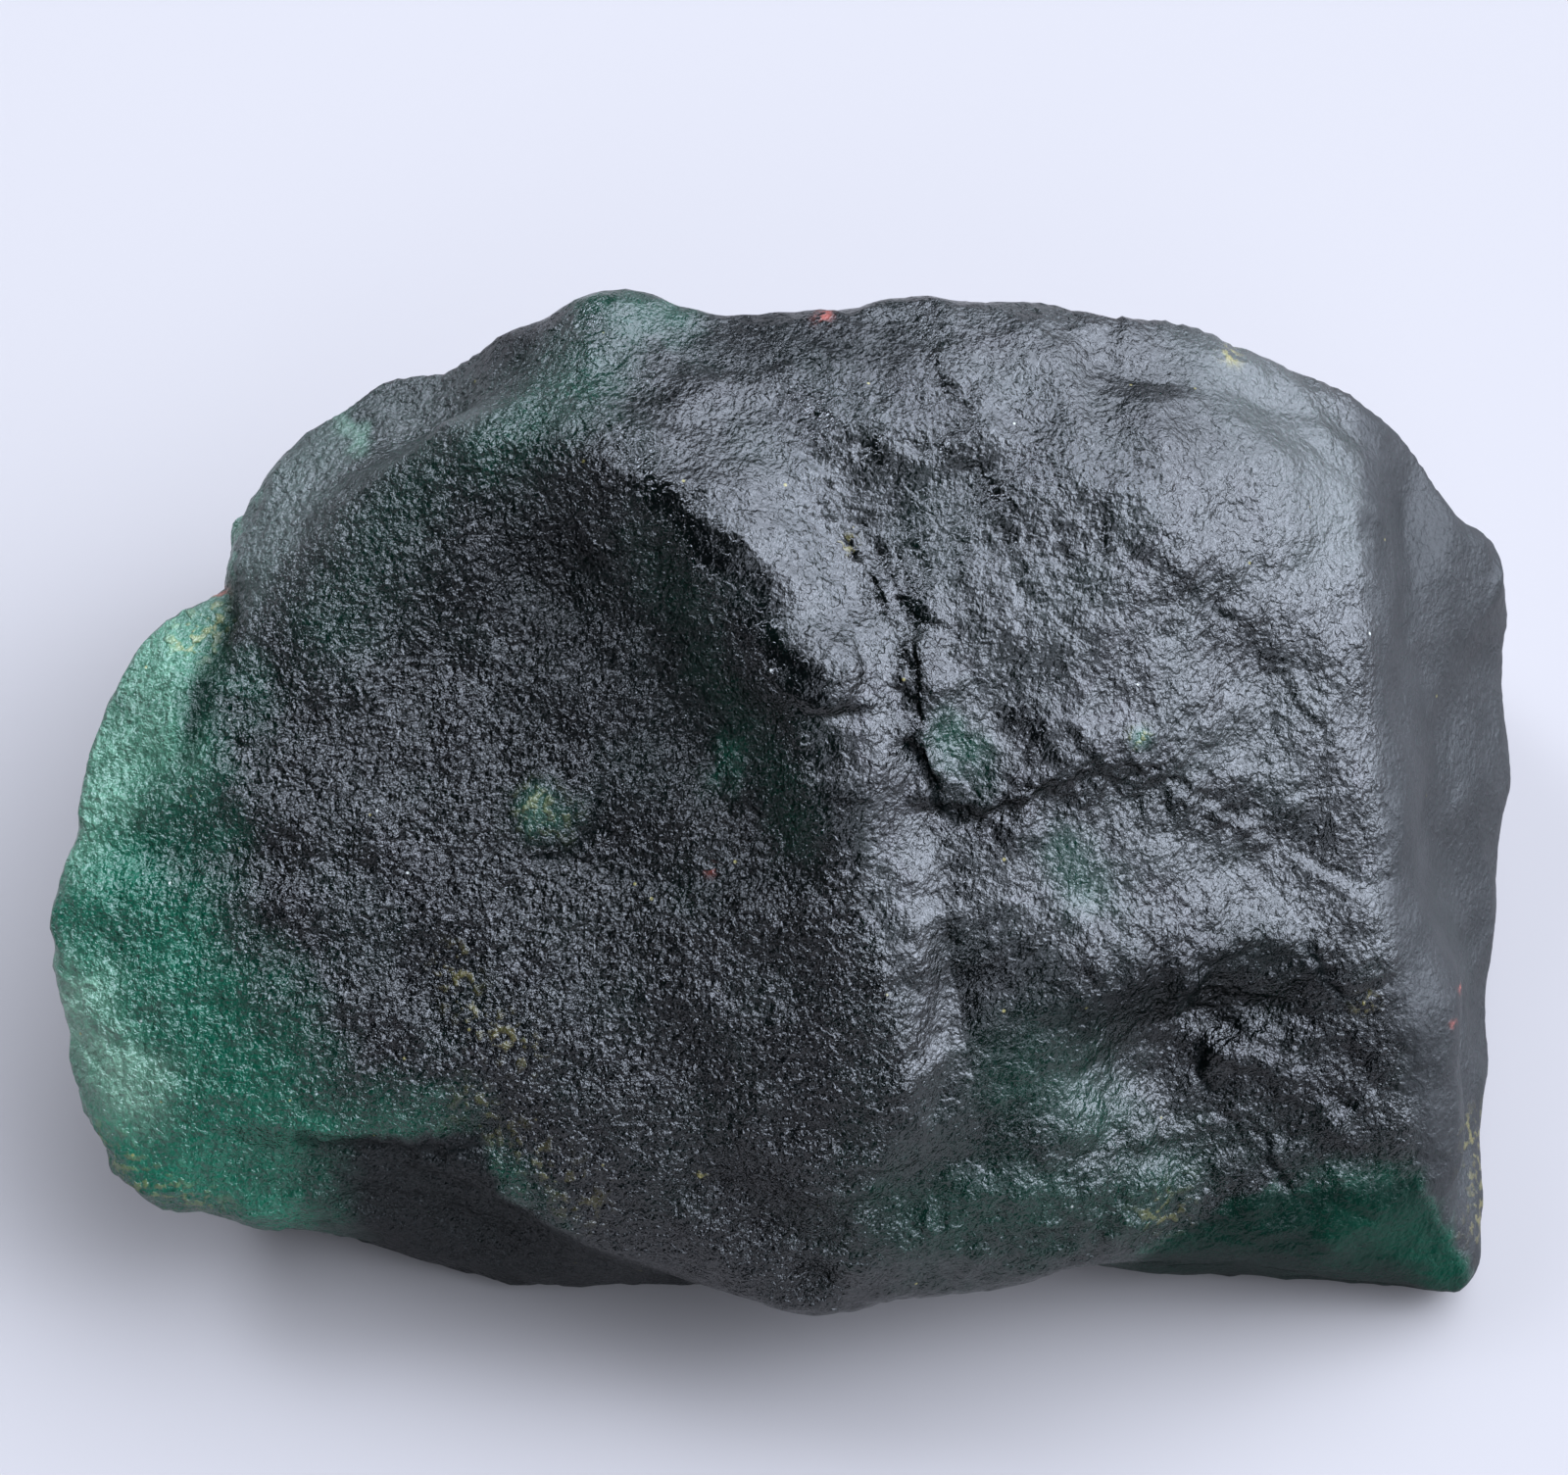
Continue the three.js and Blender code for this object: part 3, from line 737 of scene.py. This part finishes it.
    def chart(self, skin: FineSkin, ragged: float) -> Chart:
        """Lays the skin on the broad face, with lines that stray by so many millimetres."""
        places = self.face.places(skin.points)[:, :2]
        stray = np.stack([layered(skin.points, layers) for layers in self.strays], axis=1)
        return Chart(places + ragged * stray, ease(*self.seen_where, self.facing(skin)))

    def right_of_crest(self, chart: Chart) -> Array:
        """Gives 1 right of the crest and 0 left of it, for places on a chart."""
        return chart.left(CREST, *self.crest_where)

    def under_shelf(self, skin: FineSkin) -> Array:
        """Gives 1 on the overhung side below the shelf and 0 elsewhere."""
        return self.chart(skin, self.shelf_ragged).left(SHELF_EDGE[::-1], *self.shelf_where)

    def smoothness(self, skin: FineSkin) -> Array:
        """Works out how far the lumps are worn away.

        Args:
            skin: The fine skin.

        Returns:
            A number from 0 to 1 at every point.
        """
        chart = self.chart(skin, self.lumps_ragged)
        band = self.worn_crest
        beside, _ = chart.measure(band.line)
        parts = [
            self.worn_end * chart.right(END_EDGE, *self.worn_end_where),
            self.worn_facet * chart.left(CORNER_TOP[::-1], *self.worn_facet_where)
            * (chart.places[:, 0] > self.facet_side),
            self.worn_shelf * self.under_shelf(skin),
            band.amount * hump(beside - band.width, band.width) * self.right_of_crest(chart),
        ]
        parts += [patch.amount * chart.near(patch.line, patch.width) for patch in self.worn]
        return 1.0 - np.prod([1.0 - part for part in parts], axis=0)

    def lumpiness(self, skin: FineSkin) -> Array:
        """Works out how high the lumps stand.

        Args:
            skin: The fine skin.

        Returns:
            A number from 0 to about 2 at every point.
        """
        chart = self.chart(skin, self.lumps_ragged)
        level = self.lump_level + layered(skin.points, self.lump_swing)
        for patch in self.crumples:
            level += patch.amount * chart.near(patch.line, patch.width)
        return level * (1.0 - self.smoothness(skin))

    def fibres(self, skin: FineSkin) -> Array:
        """Works out the height of the fibres on the green side.

        Args:
            skin: The fine skin.

        Returns:
            The height at every point, in millimetres.
        """
        places = self.face.places(skin.points)
        way, side = self.fibre_way
        along = places[:, :2] @ np.array([way, side]) / self.fibre_stretch
        across = places[:, :2] @ np.array([-side, way])
        strands = np.stack([across, along, places[:, 2]], axis=1)
        return layered(strands, self.fibre_layers) * ease(*self.fibre_edge, places[:, 0])

    def weather(self, skin: FineSkin) -> None:
        """Raises the small lumps, cracks, steps, pits and fibres of the skin.

        Args:
            skin: The fine skin.
        """
        normals = skin.normals()
        height = np.zeros(len(skin.points))
        level = self.lumpiness(skin)
        for seed, size, amount in self.lumps:
            height += amount * level * Grit(seed).lumps(skin.points, size)
        charts = {ragged: self.chart(skin, ragged) for ragged in {m.ragged for m in self.marks}}
        for mark in self.marks:
            height += charts[mark.ragged].rise(mark)
        chart = self.chart(skin, self.spots_ragged)
        for spot in self.spots:
            height += spot.height * chart.near((spot.place,), spot.radius) * chart.front
        height += self.fibres(skin) * chart.front
        height *= ease(0.0, self.held_height, skin.points[:, 2])
        skin.points = skin.points + normals * height[:, None]
        skin.points[:, 2] = np.maximum(skin.points[:, 2], 0.0)

    def colours(self, skin: FineSkin) -> dict[Channel, Array]:
        """Works out what each point tells the finish.

        Args:
            skin: The fine skin before it is weathered.

        Returns:
            One number at every point for each channel, from 0 to 1, or to 2 for the grain.
        """
        cloud = layered(skin.points, self.clouds)
        found = {channel: np.zeros(len(skin.points)) for channel in Channel}
        wide, tight = self.chart(skin, self.wide_ragged), self.chart(skin, self.tight_ragged)

        def tell(channel: Channel, amount: Array) -> None:
            """Raises a channel to an amount, where it is less."""
            found[channel] = np.maximum(found[channel], amount)

        for channel, edge in self.edges:
            distance, side = wide.measure(edge.line)
            place = distance * side + self.edge_cloud * edge.width * cloud
            tell(channel, edge.amount * ease(-edge.width, edge.width, place) * wide.front)
        for channel, patches in self.patches:
            for patch in patches:
                chart = wide if patch.ragged >= 1.0 else tight
                distance, _ = chart.measure(patch.line)
                swing = 1.0 - self.patch_cloud * patch.ragged * cloud
                tell(channel, patch.amount * hump(distance * swing, patch.width) * chart.front)
        # Painted shade along the cracks and grooves.
        for mark in self.marks:
            crack_shade = mark.crack_shade * tight.near(mark.line, mark.width * self.crack_shade_spread)
            tell(Channel.DARK, crack_shade * tight.front)
        across = wide.places[:, 0]
        ending = wide.right(END_EDGE, *self.end_where) * tight.left(CORNER_TOP, *self.foot_where)
        facet = tight.right(CORNER_TOP, *self.facet_where) * ease(*self.facet_end, across)
        under = self.under_shelf(skin) * ease(*self.shelf_end, across + self.shelf_cloud * cloud)
        for channel in (Channel.GREEN, Channel.PALE, Channel.OCHRE):
            found[channel] *= 1.0 - under
        found[Channel.RUST] *= ease(*self.rust_where, self.facing(skin))
        tell(Channel.SLATE, np.maximum(ending, self.shelf_slate * under))
        # Painted shade under the shelf, on the down-facing corner facet and on the end face; on the
        # end face the cloud also mottles it.
        patchy = np.clip(1.0 + self.end_cloud * cloud, *self.end_limits)
        for shade in (
            self.shelf_painted_shade * under, self.facet_painted_shade * facet, self.end_painted_shade * ending * patchy
        ):
            tell(Channel.DARK, shade)
        grain = self.basin_grain - self.crest_drop * self.right_of_crest(wide)
        tell(Channel.GRAIN, grain * (self.calm_grain + self.lump_grain * self.lumpiness(skin)))
        return found

    def build(self) -> bpy.types.Object:
        """Builds the stone's skin and rides it on the frame's root.

        Returns:
            The stone's object.
        """
        skin = self.cut_fine()
        told = self.colours(skin)
        self.weather(skin)
        piece = skin.to_object(self.name)
        for channel, amounts in told.items():
            layer = piece.data.attributes.new(channel.value, "FLOAT", "POINT")
            kept = np.clip(amounts, 0.0, self.most_told).astype(np.float32)
            layer.data.foreach_set("value", kept)
        piece.data.materials.append(EmeraldSkin().material())
        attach(piece, "root")
        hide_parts(self.node)
        return piece


class Value:
    """A number in a finish that takes part in arithmetic."""

    def __init__(self, tree: "Finish", socket: Socket) -> None:
        """Wraps an output socket of a finish."""
        self.tree = tree
        self.socket = socket

    def _math(self, operation: str, first: "Number", second: "Number") -> "Value":
        """Adds a Math node."""
        return self.tree.value("ShaderNodeMath", {"operation": operation}, {0: first, 1: second})

    def __add__(self, other: "Number") -> "Value":
        """Adds."""
        return self._math("ADD", self, other)

    __radd__ = __add__

    def __sub__(self, other: "Number") -> "Value":
        """Takes other away."""
        return self._math("SUBTRACT", self, other)

    def __rsub__(self, other: "Number") -> "Value":
        """Takes this away from other."""
        return self._math("SUBTRACT", other, self)

    def __mul__(self, other: "Number") -> "Value":
        """Multiplies."""
        return self._math("MULTIPLY", self, other)

    __rmul__ = __mul__

    def __pow__(self, other: "Number") -> "Value":
        """Raises to a power."""
        return self._math("POWER", self, other)

    def size(self) -> "Value":
        """Drops the sign."""
        return self._math("ABSOLUTE", self, 0.0)

    def over(self, low: float, high: float) -> "Value":
        """Rises smoothly from 0 at low to 1 at high."""
        settings = {"interpolation_type": "SMOOTHSTEP"}
        return self.tree.value("ShaderNodeMapRange", settings, {0: self, 1: low, 2: high})

    def spread(self, level: float, swing: float) -> "Value":
        """Gives a level plus the number times a swing."""
        return level + swing * self

    def held(self) -> "Value":
        """Holds the number between 0 and 1."""
        return self.tree.value("ShaderNodeClamp", {}, {0: self})


Number = Union[Value, float]


class Finish:
    """A material's or the room's node tree, with one method for every kind of node."""

    MIXED, FIRST_MIXED, SECOND_MIXED = 2, 6, 7

    def __init__(self, owner: Union[bpy.types.Material, bpy.types.World]) -> None:
        """Empties the tree.

        Args:
            owner: The material or world that the tree belongs to.
        """
        owner.use_nodes = True
        self.owner = owner
        self.tree = owner.node_tree
        self.tree.nodes.clear()

    def node(self, kind: str, settings: dict[str, Any], values: dict[Any, Any]) -> bpy.types.Node:
        """Adds a node.

        Args:
            kind: The node's type.
            settings: Its own settings, set first.
            values: What its sockets hold or are linked to, by name or number.

        Returns:
            The node.
        """
        made = self.tree.nodes.new(kind)
        for name, setting in settings.items():
            setattr(made, name, setting)
        for key, value in values.items():
            socket = made.inputs[key]
            if isinstance(value, Value):
                self.tree.links.new(value.socket, socket)
            elif isinstance(value, Socket):
                self.tree.links.new(value, socket)
            elif isinstance(value, tuple) and socket.type == "RGBA":
                socket.default_value = (*value, 1.0)
            else:
                socket.default_value = value
        return made

    def value(
        self, kind: str, settings: dict[str, Any], values: dict[Any, Any], out: Any = 0
    ) -> Value:
        """Adds a node and takes one of its outputs, by name or number, as a number."""
        return Value(self, self.node(kind, settings, values).outputs[out])

    def told(self, channel: Channel) -> Value:
        """Reads what the skin's points tell about one channel."""
        return self.value("ShaderNodeAttribute", {"attribute_name": channel.value}, {}, "Fac")

    def blend(
        self, share: Number, first: Union[Socket, Colour], second: Union[Socket, Colour]
    ) -> Socket:
        """Mixes a share, from 0 to 1, of the second colour into the first."""
        values = {0: share, self.FIRST_MIXED: first, self.SECOND_MIXED: second}
        return self.node("ShaderNodeMix", {"data_type": "RGBA"}, values).outputs[self.MIXED]

    def along(self, way: Socket, towards: Way) -> Value:
        """Measures how far a vector points in a direction."""
        settings = {"operation": "DOT_PRODUCT"}
        return self.value("ShaderNodeVectorMath", settings, {0: way, 1: towards}, "Value")

    def noise(self, place: Socket, size: float, detail: float) -> Value:
        """Adds soft noise round 0.5, with cells of a size and a number of finer layers."""
        values = {"Vector": place, "Scale": 1.0 / size, "Detail": detail}
        return self.value("ShaderNodeTexNoise", {}, values)

    def cells(self, place: Socket, size: float) -> bpy.types.Node:
        """Fills the stone with close-packed cells, each with a random colour."""
        return self.node("ShaderNodeTexVoronoi", {}, {"Vector": place, "Scale": 1.0 / size})

    def vector(
        self, operation: str, first: Socket, second: Union[Socket, Way, Number]
    ) -> Socket:
        """Adds a Vector Math node; a scaling takes its factor as the second value."""
        values = {0: first, "Scale" if operation == "SCALE" else 1: second}
        return self.node("ShaderNodeVectorMath", {"operation": operation}, values).outputs[0]

    def stretched(self, place: Socket, turn: Matrix, length: float) -> Socket:
        """Turns coordinates and stretches them along the turned X, for a grain with a direction."""
        values = {"Vector": place, "Rotation": tuple(turn.to_euler()), "Scale": (length, 1.0, 1.0)}
        return self.node("ShaderNodeMapping", {"vector_type": "TEXTURE"}, values).outputs[0]

    def close(self, surface: bpy.types.Node) -> bpy.types.Material:
        """Ends a material's tree with its surface."""
        self.node("ShaderNodeOutputMaterial", {}, {"Surface": surface.outputs[0]})
        return self.owner


@dataclass(frozen=True)
class EmeraldSkin:
    """Black-green sugary crystal with clear green, milky, rusty and dull grey places."""

    black: Colour = (0.0003, 0.0009, 0.001)
    bottle: Colour = (0.0004, 0.0035, 0.0025)
    emerald: Colour = (0.004, 0.115, 0.062)
    milky: Colour = (0.2, 0.38, 0.26)
    grey: Colour = (0.12, 0.135, 0.125)
    slate: Colour = (0.013, 0.014, 0.0145)
    ochre: Colour = (0.3, 0.26, 0.08)
    rust: Colour = (0.5, 0.13, 0.1)
    # painted glint: the near-white of tiny specks painted in as glints
    painted_glint: Colour = (0.7, 0.72, 0.66)
    # painted shade: the near-black diffuse laid over the skin where the channel of painted shade is
    # high
    painted_shade_tone: Colour = (0.002, 0.004, 0.004)
    bends_light: float = 1.57
    plate_width: float = 1.1
    plate_height: float = 0.3
    crease_width: float = 0.12
    crease_depth: float = 0.06
    dash_width: float = 0.6
    dash_height: float = 0.36
    noise_middle: float = 0.5
    grain_width: float = 0.45
    grain_tilt: float = 0.3
    grain_lean: Way = (0.08, 0.03, 0.06)
    grain_turn: float = 60.0
    grain_length: float = 1.4
    cloud_width: float = 9.0
    fleck_width: float = 1.1
    worn_width: float = 3.5
    coarse_detail: float = 2.0
    fine_detail: float = 3.0
    bottle_clouds: Span = (0.42, 0.7)
    milk_flecks: Span = (0.4, 1.2)
    green_clouds: Span = (0.45, 1.1)
    green_flecks: float = 0.8
    dull_flecks: Span = (0.75, 0.5)
    slate_clouds: Span = (0.8, 0.4)
    ochre_flecks: Span = (0.5, 0.62)
    rust_flecks: Span = (0.4, 0.55)
    ochre_specks: Span = (1.7, 0.045)
    painted_glint_specks: Span = (3.1, 0.035)
    speck_sizes: Span = (0.1, 0.24)
    speck_strength: float = 0.7
    speck_choice: float = 0.002
    roughness: float = 0.12
    worn_roughness: float = 0.1
    dusty_roughness: float = 0.34
    glow_weight: float = 0.15
    glow_reach: Colour = (0.4, 1.0, 0.7)
    glow_depth: float = 0.002
    # how much of the channel of painted shade reaches the mix
    painted_shade_share: float = 0.9

    def colour(self, finish: Finish, place: Socket) -> Socket:
        """Builds the stone's colour.

        Args:
            finish: The finish being made.
            place: The coordinates, in millimetres.

        Returns:
            The colour's socket.
        """
        cloud = finish.noise(place, self.cloud_width, self.fine_detail)
        fleck = finish.noise(place, self.fleck_width, self.fine_detail)
        green = finish.told(Channel.GREEN)
        body = finish.blend(cloud.over(*self.bottle_clouds), self.black, self.bottle)
        milk = finish.told(Channel.PALE) * fleck.spread(*self.milk_flecks)
        gem = finish.blend(milk.held(), self.emerald, self.milky)
        flecked = (fleck - self.noise_middle) * green * self.green_flecks
        showing = green * cloud.spread(*self.green_clouds) + flecked
        colour = finish.blend(showing.held(), body, gem)
        for channel, share, tint in (
            (Channel.DULL, fleck.spread(*self.dull_flecks), self.grey),
            (Channel.SLATE, cloud.spread(*self.slate_clouds), self.slate),
            (Channel.OCHRE, fleck.over(*self.ochre_flecks), self.ochre),
            (Channel.RUST, fleck.over(*self.rust_flecks), self.rust),
        ):
            colour = finish.blend((finish.told(channel) * share).held(), colour, tint)
        # The ochre specks are rusty stains; the near-white specks are painted glints.
        for specks, tint in ((self.ochre_specks, self.ochre), (self.painted_glint_specks, self.painted_glint)):
            colour = finish.blend(self.specks(finish, place, *specks), colour, tint)
        return colour

    def specks(self, finish: Finish, place: Socket, size: float, share: float) -> Value:
        """Scatters tiny specks.

        Args:
            finish: The finish being made.
            place: The coordinates, in millimetres.
            size: How far apart the cells that may hold one are.
            share: The share of cells that hold one.

        Returns:
            1 on a speck and 0 beside it.
        """
        cells = finish.cells(place, size)
        distance = Value(finish, cells.outputs["Distance"])
        chance = finish.value("ShaderNodeSeparateColor", {}, {0: cells.outputs["Color"]})
        chosen = chance.over(1.0 - share, 1.0 - share + self.speck_choice)
        dot = 1.0 - distance.over(*(width / size for width in self.speck_sizes))
        return (chosen * dot * self.speck_strength).held()

    def normal(self, finish: Finish, place: Socket) -> Socket:
        """Builds the sugary grain: a crumpled skin, with each grain's face tilted its own way.

        Args:
            finish: The finish being made.
            place: The coordinates, in millimetres.

        Returns:
            The normal's socket.
        """
        strength = finish.told(Channel.GRAIN)
        lean = Matrix(BroadFace().axes().tolist()).transposed()
        turn = lean @ Matrix.Rotation(math.radians(self.grain_turn), 3, "Z")
        stretched = finish.stretched(place, turn, self.grain_length)
        plates = finish.noise(place, self.plate_width, self.fine_detail)
        dashes = finish.noise(stretched, self.dash_width, self.coarse_detail)
        creases = (plates - self.noise_middle).size().over(0.0, self.crease_width)
        height = strength * (
            self.plate_height * plates + self.crease_depth * creases + self.dash_height * dashes
        )
        values = {"Strength": 1.0, "Distance": MM, "Height": height}
        bump = finish.node("ShaderNodeBump", {}, values)
        middle = tuple(self.noise_middle - part for part in self.grain_lean)
        grains = finish.cells(stretched, self.grain_width).outputs["Color"]
        way = finish.vector("SUBTRACT", grains, middle)
        tilt = finish.vector("SCALE", way, strength * self.grain_tilt)
        normal = finish.vector("ADD", bump.outputs[0], tilt)
        return finish.vector("NORMALIZE", normal, normal)

    def material(self) -> bpy.types.Material:
        """Makes the stone's material.

        Returns:
            The material.
        """
        finish = Finish(bpy.data.materials.new("emerald_rough"))
        coordinates = finish.node("ShaderNodeTexCoord", {}, {})
        place = finish.vector("SCALE", coordinates.outputs["Object"], 1.0 / MM)
        worn = finish.noise(place, self.worn_width, self.coarse_detail)
        dusty = finish.told(Channel.DULL) + finish.told(Channel.SLATE)
        roughness = self.roughness + self.worn_roughness * worn + self.dusty_roughness * dusty
        skin = finish.node(
            "ShaderNodeBsdfPrincipled",
            {},
            {
                "Base Color": self.colour(finish, place),
                "Roughness": roughness.held(),
                "IOR": self.bends_light,
                "Normal": self.normal(finish, place),
                "Subsurface Weight": self.glow_weight,
                "Subsurface Radius": self.glow_reach,
                "Subsurface Scale": self.glow_depth,
            },
        )
        # Painted shade: a near-black diffuse mixed over the skin by the channel of painted shade,
        # taking its reflections away.
        painted_shade_tone = finish.node("ShaderNodeBsdfDiffuse", {}, {"Color": self.painted_shade_tone})
        gap = (finish.told(Channel.DARK) * self.painted_shade_share).held()
        surface = finish.node(
            "ShaderNodeMixShader", {}, {0: gap, 1: skin.outputs[0], 2: painted_shade_tone.outputs[0]}
        )
        return finish.close(surface)


@dataclass(frozen=True)
class FloorPaint:
    """Matt pale lavender paint with a barely uneven tone."""

    light: Colour = (0.382, 0.357, 0.35)
    shade: Colour = (0.375, 0.351, 0.344)
    cloud_width: float = 0.35
    detail: float = 1.0
    clouds: Span = (0.3, 0.7)
    roughness: float = 0.85
    gloss: float = 0.1

    def material(self) -> bpy.types.Material:
        """Makes the floor's material.

        Returns:
            The material.
        """
        finish = Finish(bpy.data.materials.new("pale_floor"))
        coordinates = finish.node("ShaderNodeTexCoord", {}, {})
        tone = finish.noise(coordinates.outputs["Object"], self.cloud_width, self.detail)
        surface = finish.node(
            "ShaderNodeBsdfPrincipled",
            {},
            {
                "Base Color": finish.blend(tone.over(*self.clouds), self.light, self.shade),
                "Roughness": self.roughness,
                "Specular IOR Level": self.gloss,
            },
        )
        return finish.close(surface)


@dataclass(frozen=True)
class Glow:
    """A soft glow of the room, brightest in its middle."""

    towards: Way
    level: float
    sharpness: float


@dataclass
class Studio:
    """The pale floor, the soft lights and the camera."""

    face: BroadFace
    floor_size: float = 6.0
    floor_drop: float = 0.0001
    tint: Colour = (0.76, 0.84, 1.0)
    wall_level: float = 0.2
    wall_top: Span = (0.02, 0.2)
    ceiling_level: float = 0.03
    glows: tuple[Glow, ...] = (
        Glow((0.75, 0.3, 0.59), 7.8, 3.7),
        Glow((0.75, 0.1, 0.65), 8.0, 40.0),
        Glow((0.2, 0.6, 0.75), 6.0, 30.0),
        Glow((-0.5, 0.5, 0.71), 26.0, 80.0),
        Glow((0.1, -0.7, 0.7), 4.5, 60.0),
    )
    eye_distance: float = 450.0
    eye_place: Span = (0.4, 5.97)
    sensor: float = 36.0
    lens: float = 100.935
    nearest: float = 0.01

    def build_floor(self) -> bpy.types.Object:
        """Lays the floor.

        Returns:
            The floor's object.
        """
        half = self.floor_size / 2.0
        mesh = bpy.data.meshes.new("pale_floor")
        corners = [(-half, -half), (half, -half), (half, half), (-half, half)]
        mesh.from_pydata([(x, y, -self.floor_drop) for x, y in corners], [], [(0, 1, 2, 3)])
        floor = bpy.data.objects.new("pale_floor", mesh)
        bpy.context.scene.collection.objects.link(floor)
        mesh.materials.append(FloorPaint().material())
        return floor

    def build_room(self) -> None:
        """Lights the room with soft glows and a paler wall near the floor."""
        room = Finish(bpy.data.worlds.new("room"))
        way = room.node("ShaderNodeTexCoord", {}, {}).outputs["Generated"]
        height = room.along(way, (0.0, 0.0, 1.0))
        low_wall = 1.0 - height.over(*self.wall_top)
        level = self.ceiling_level + (self.wall_level - self.ceiling_level) * low_wall
        for glow in self.glows:
            towards = tuple(Vector(glow.towards).normalized())
            level = level + glow.level * room.along(way, towards).held() ** glow.sharpness
        light = room.node("ShaderNodeBackground", {}, {"Color": self.tint, "Strength": level})
        room.node("ShaderNodeOutputWorld", {}, {"Surface": light.outputs[0]})
        bpy.context.scene.world = room.owner

    def build_camera(self) -> bpy.types.Object:
        """Sets the camera square to the broad face.

        Returns:
            The camera's object.
        """
        data = bpy.data.cameras.new("camera")
        data.sensor_width = self.sensor
        data.lens = self.lens
        data.clip_start = self.nearest
        camera = bpy.data.objects.new("camera", data)
        u, v = self.eye_place
        eye = self.face.point(u, v, self.eye_distance)
        turn = Matrix(self.face.axes().tolist()).transposed().to_4x4()
        camera.matrix_world = Matrix.Translation(eye) @ turn
        bpy.context.scene.collection.objects.link(camera)
        bpy.context.scene.camera = camera
        bpy.context.scene.view_settings.view_transform = "Standard"
        return camera


def main() -> None:
    """Builds the stone and the studio in order."""
    logging.basicConfig(level=logging.INFO, format="%(message)s")
    face = BroadFace()
    stone = RawEmerald(face).build()
    log.info("%s: %d triangles", stone.name, len(stone.data.polygons))
    studio = Studio(face)
    log.info("%s", studio.build_floor().name)
    studio.build_room()
    log.info("%s", studio.build_camera().name)


if __name__ == "__main__":
    main()
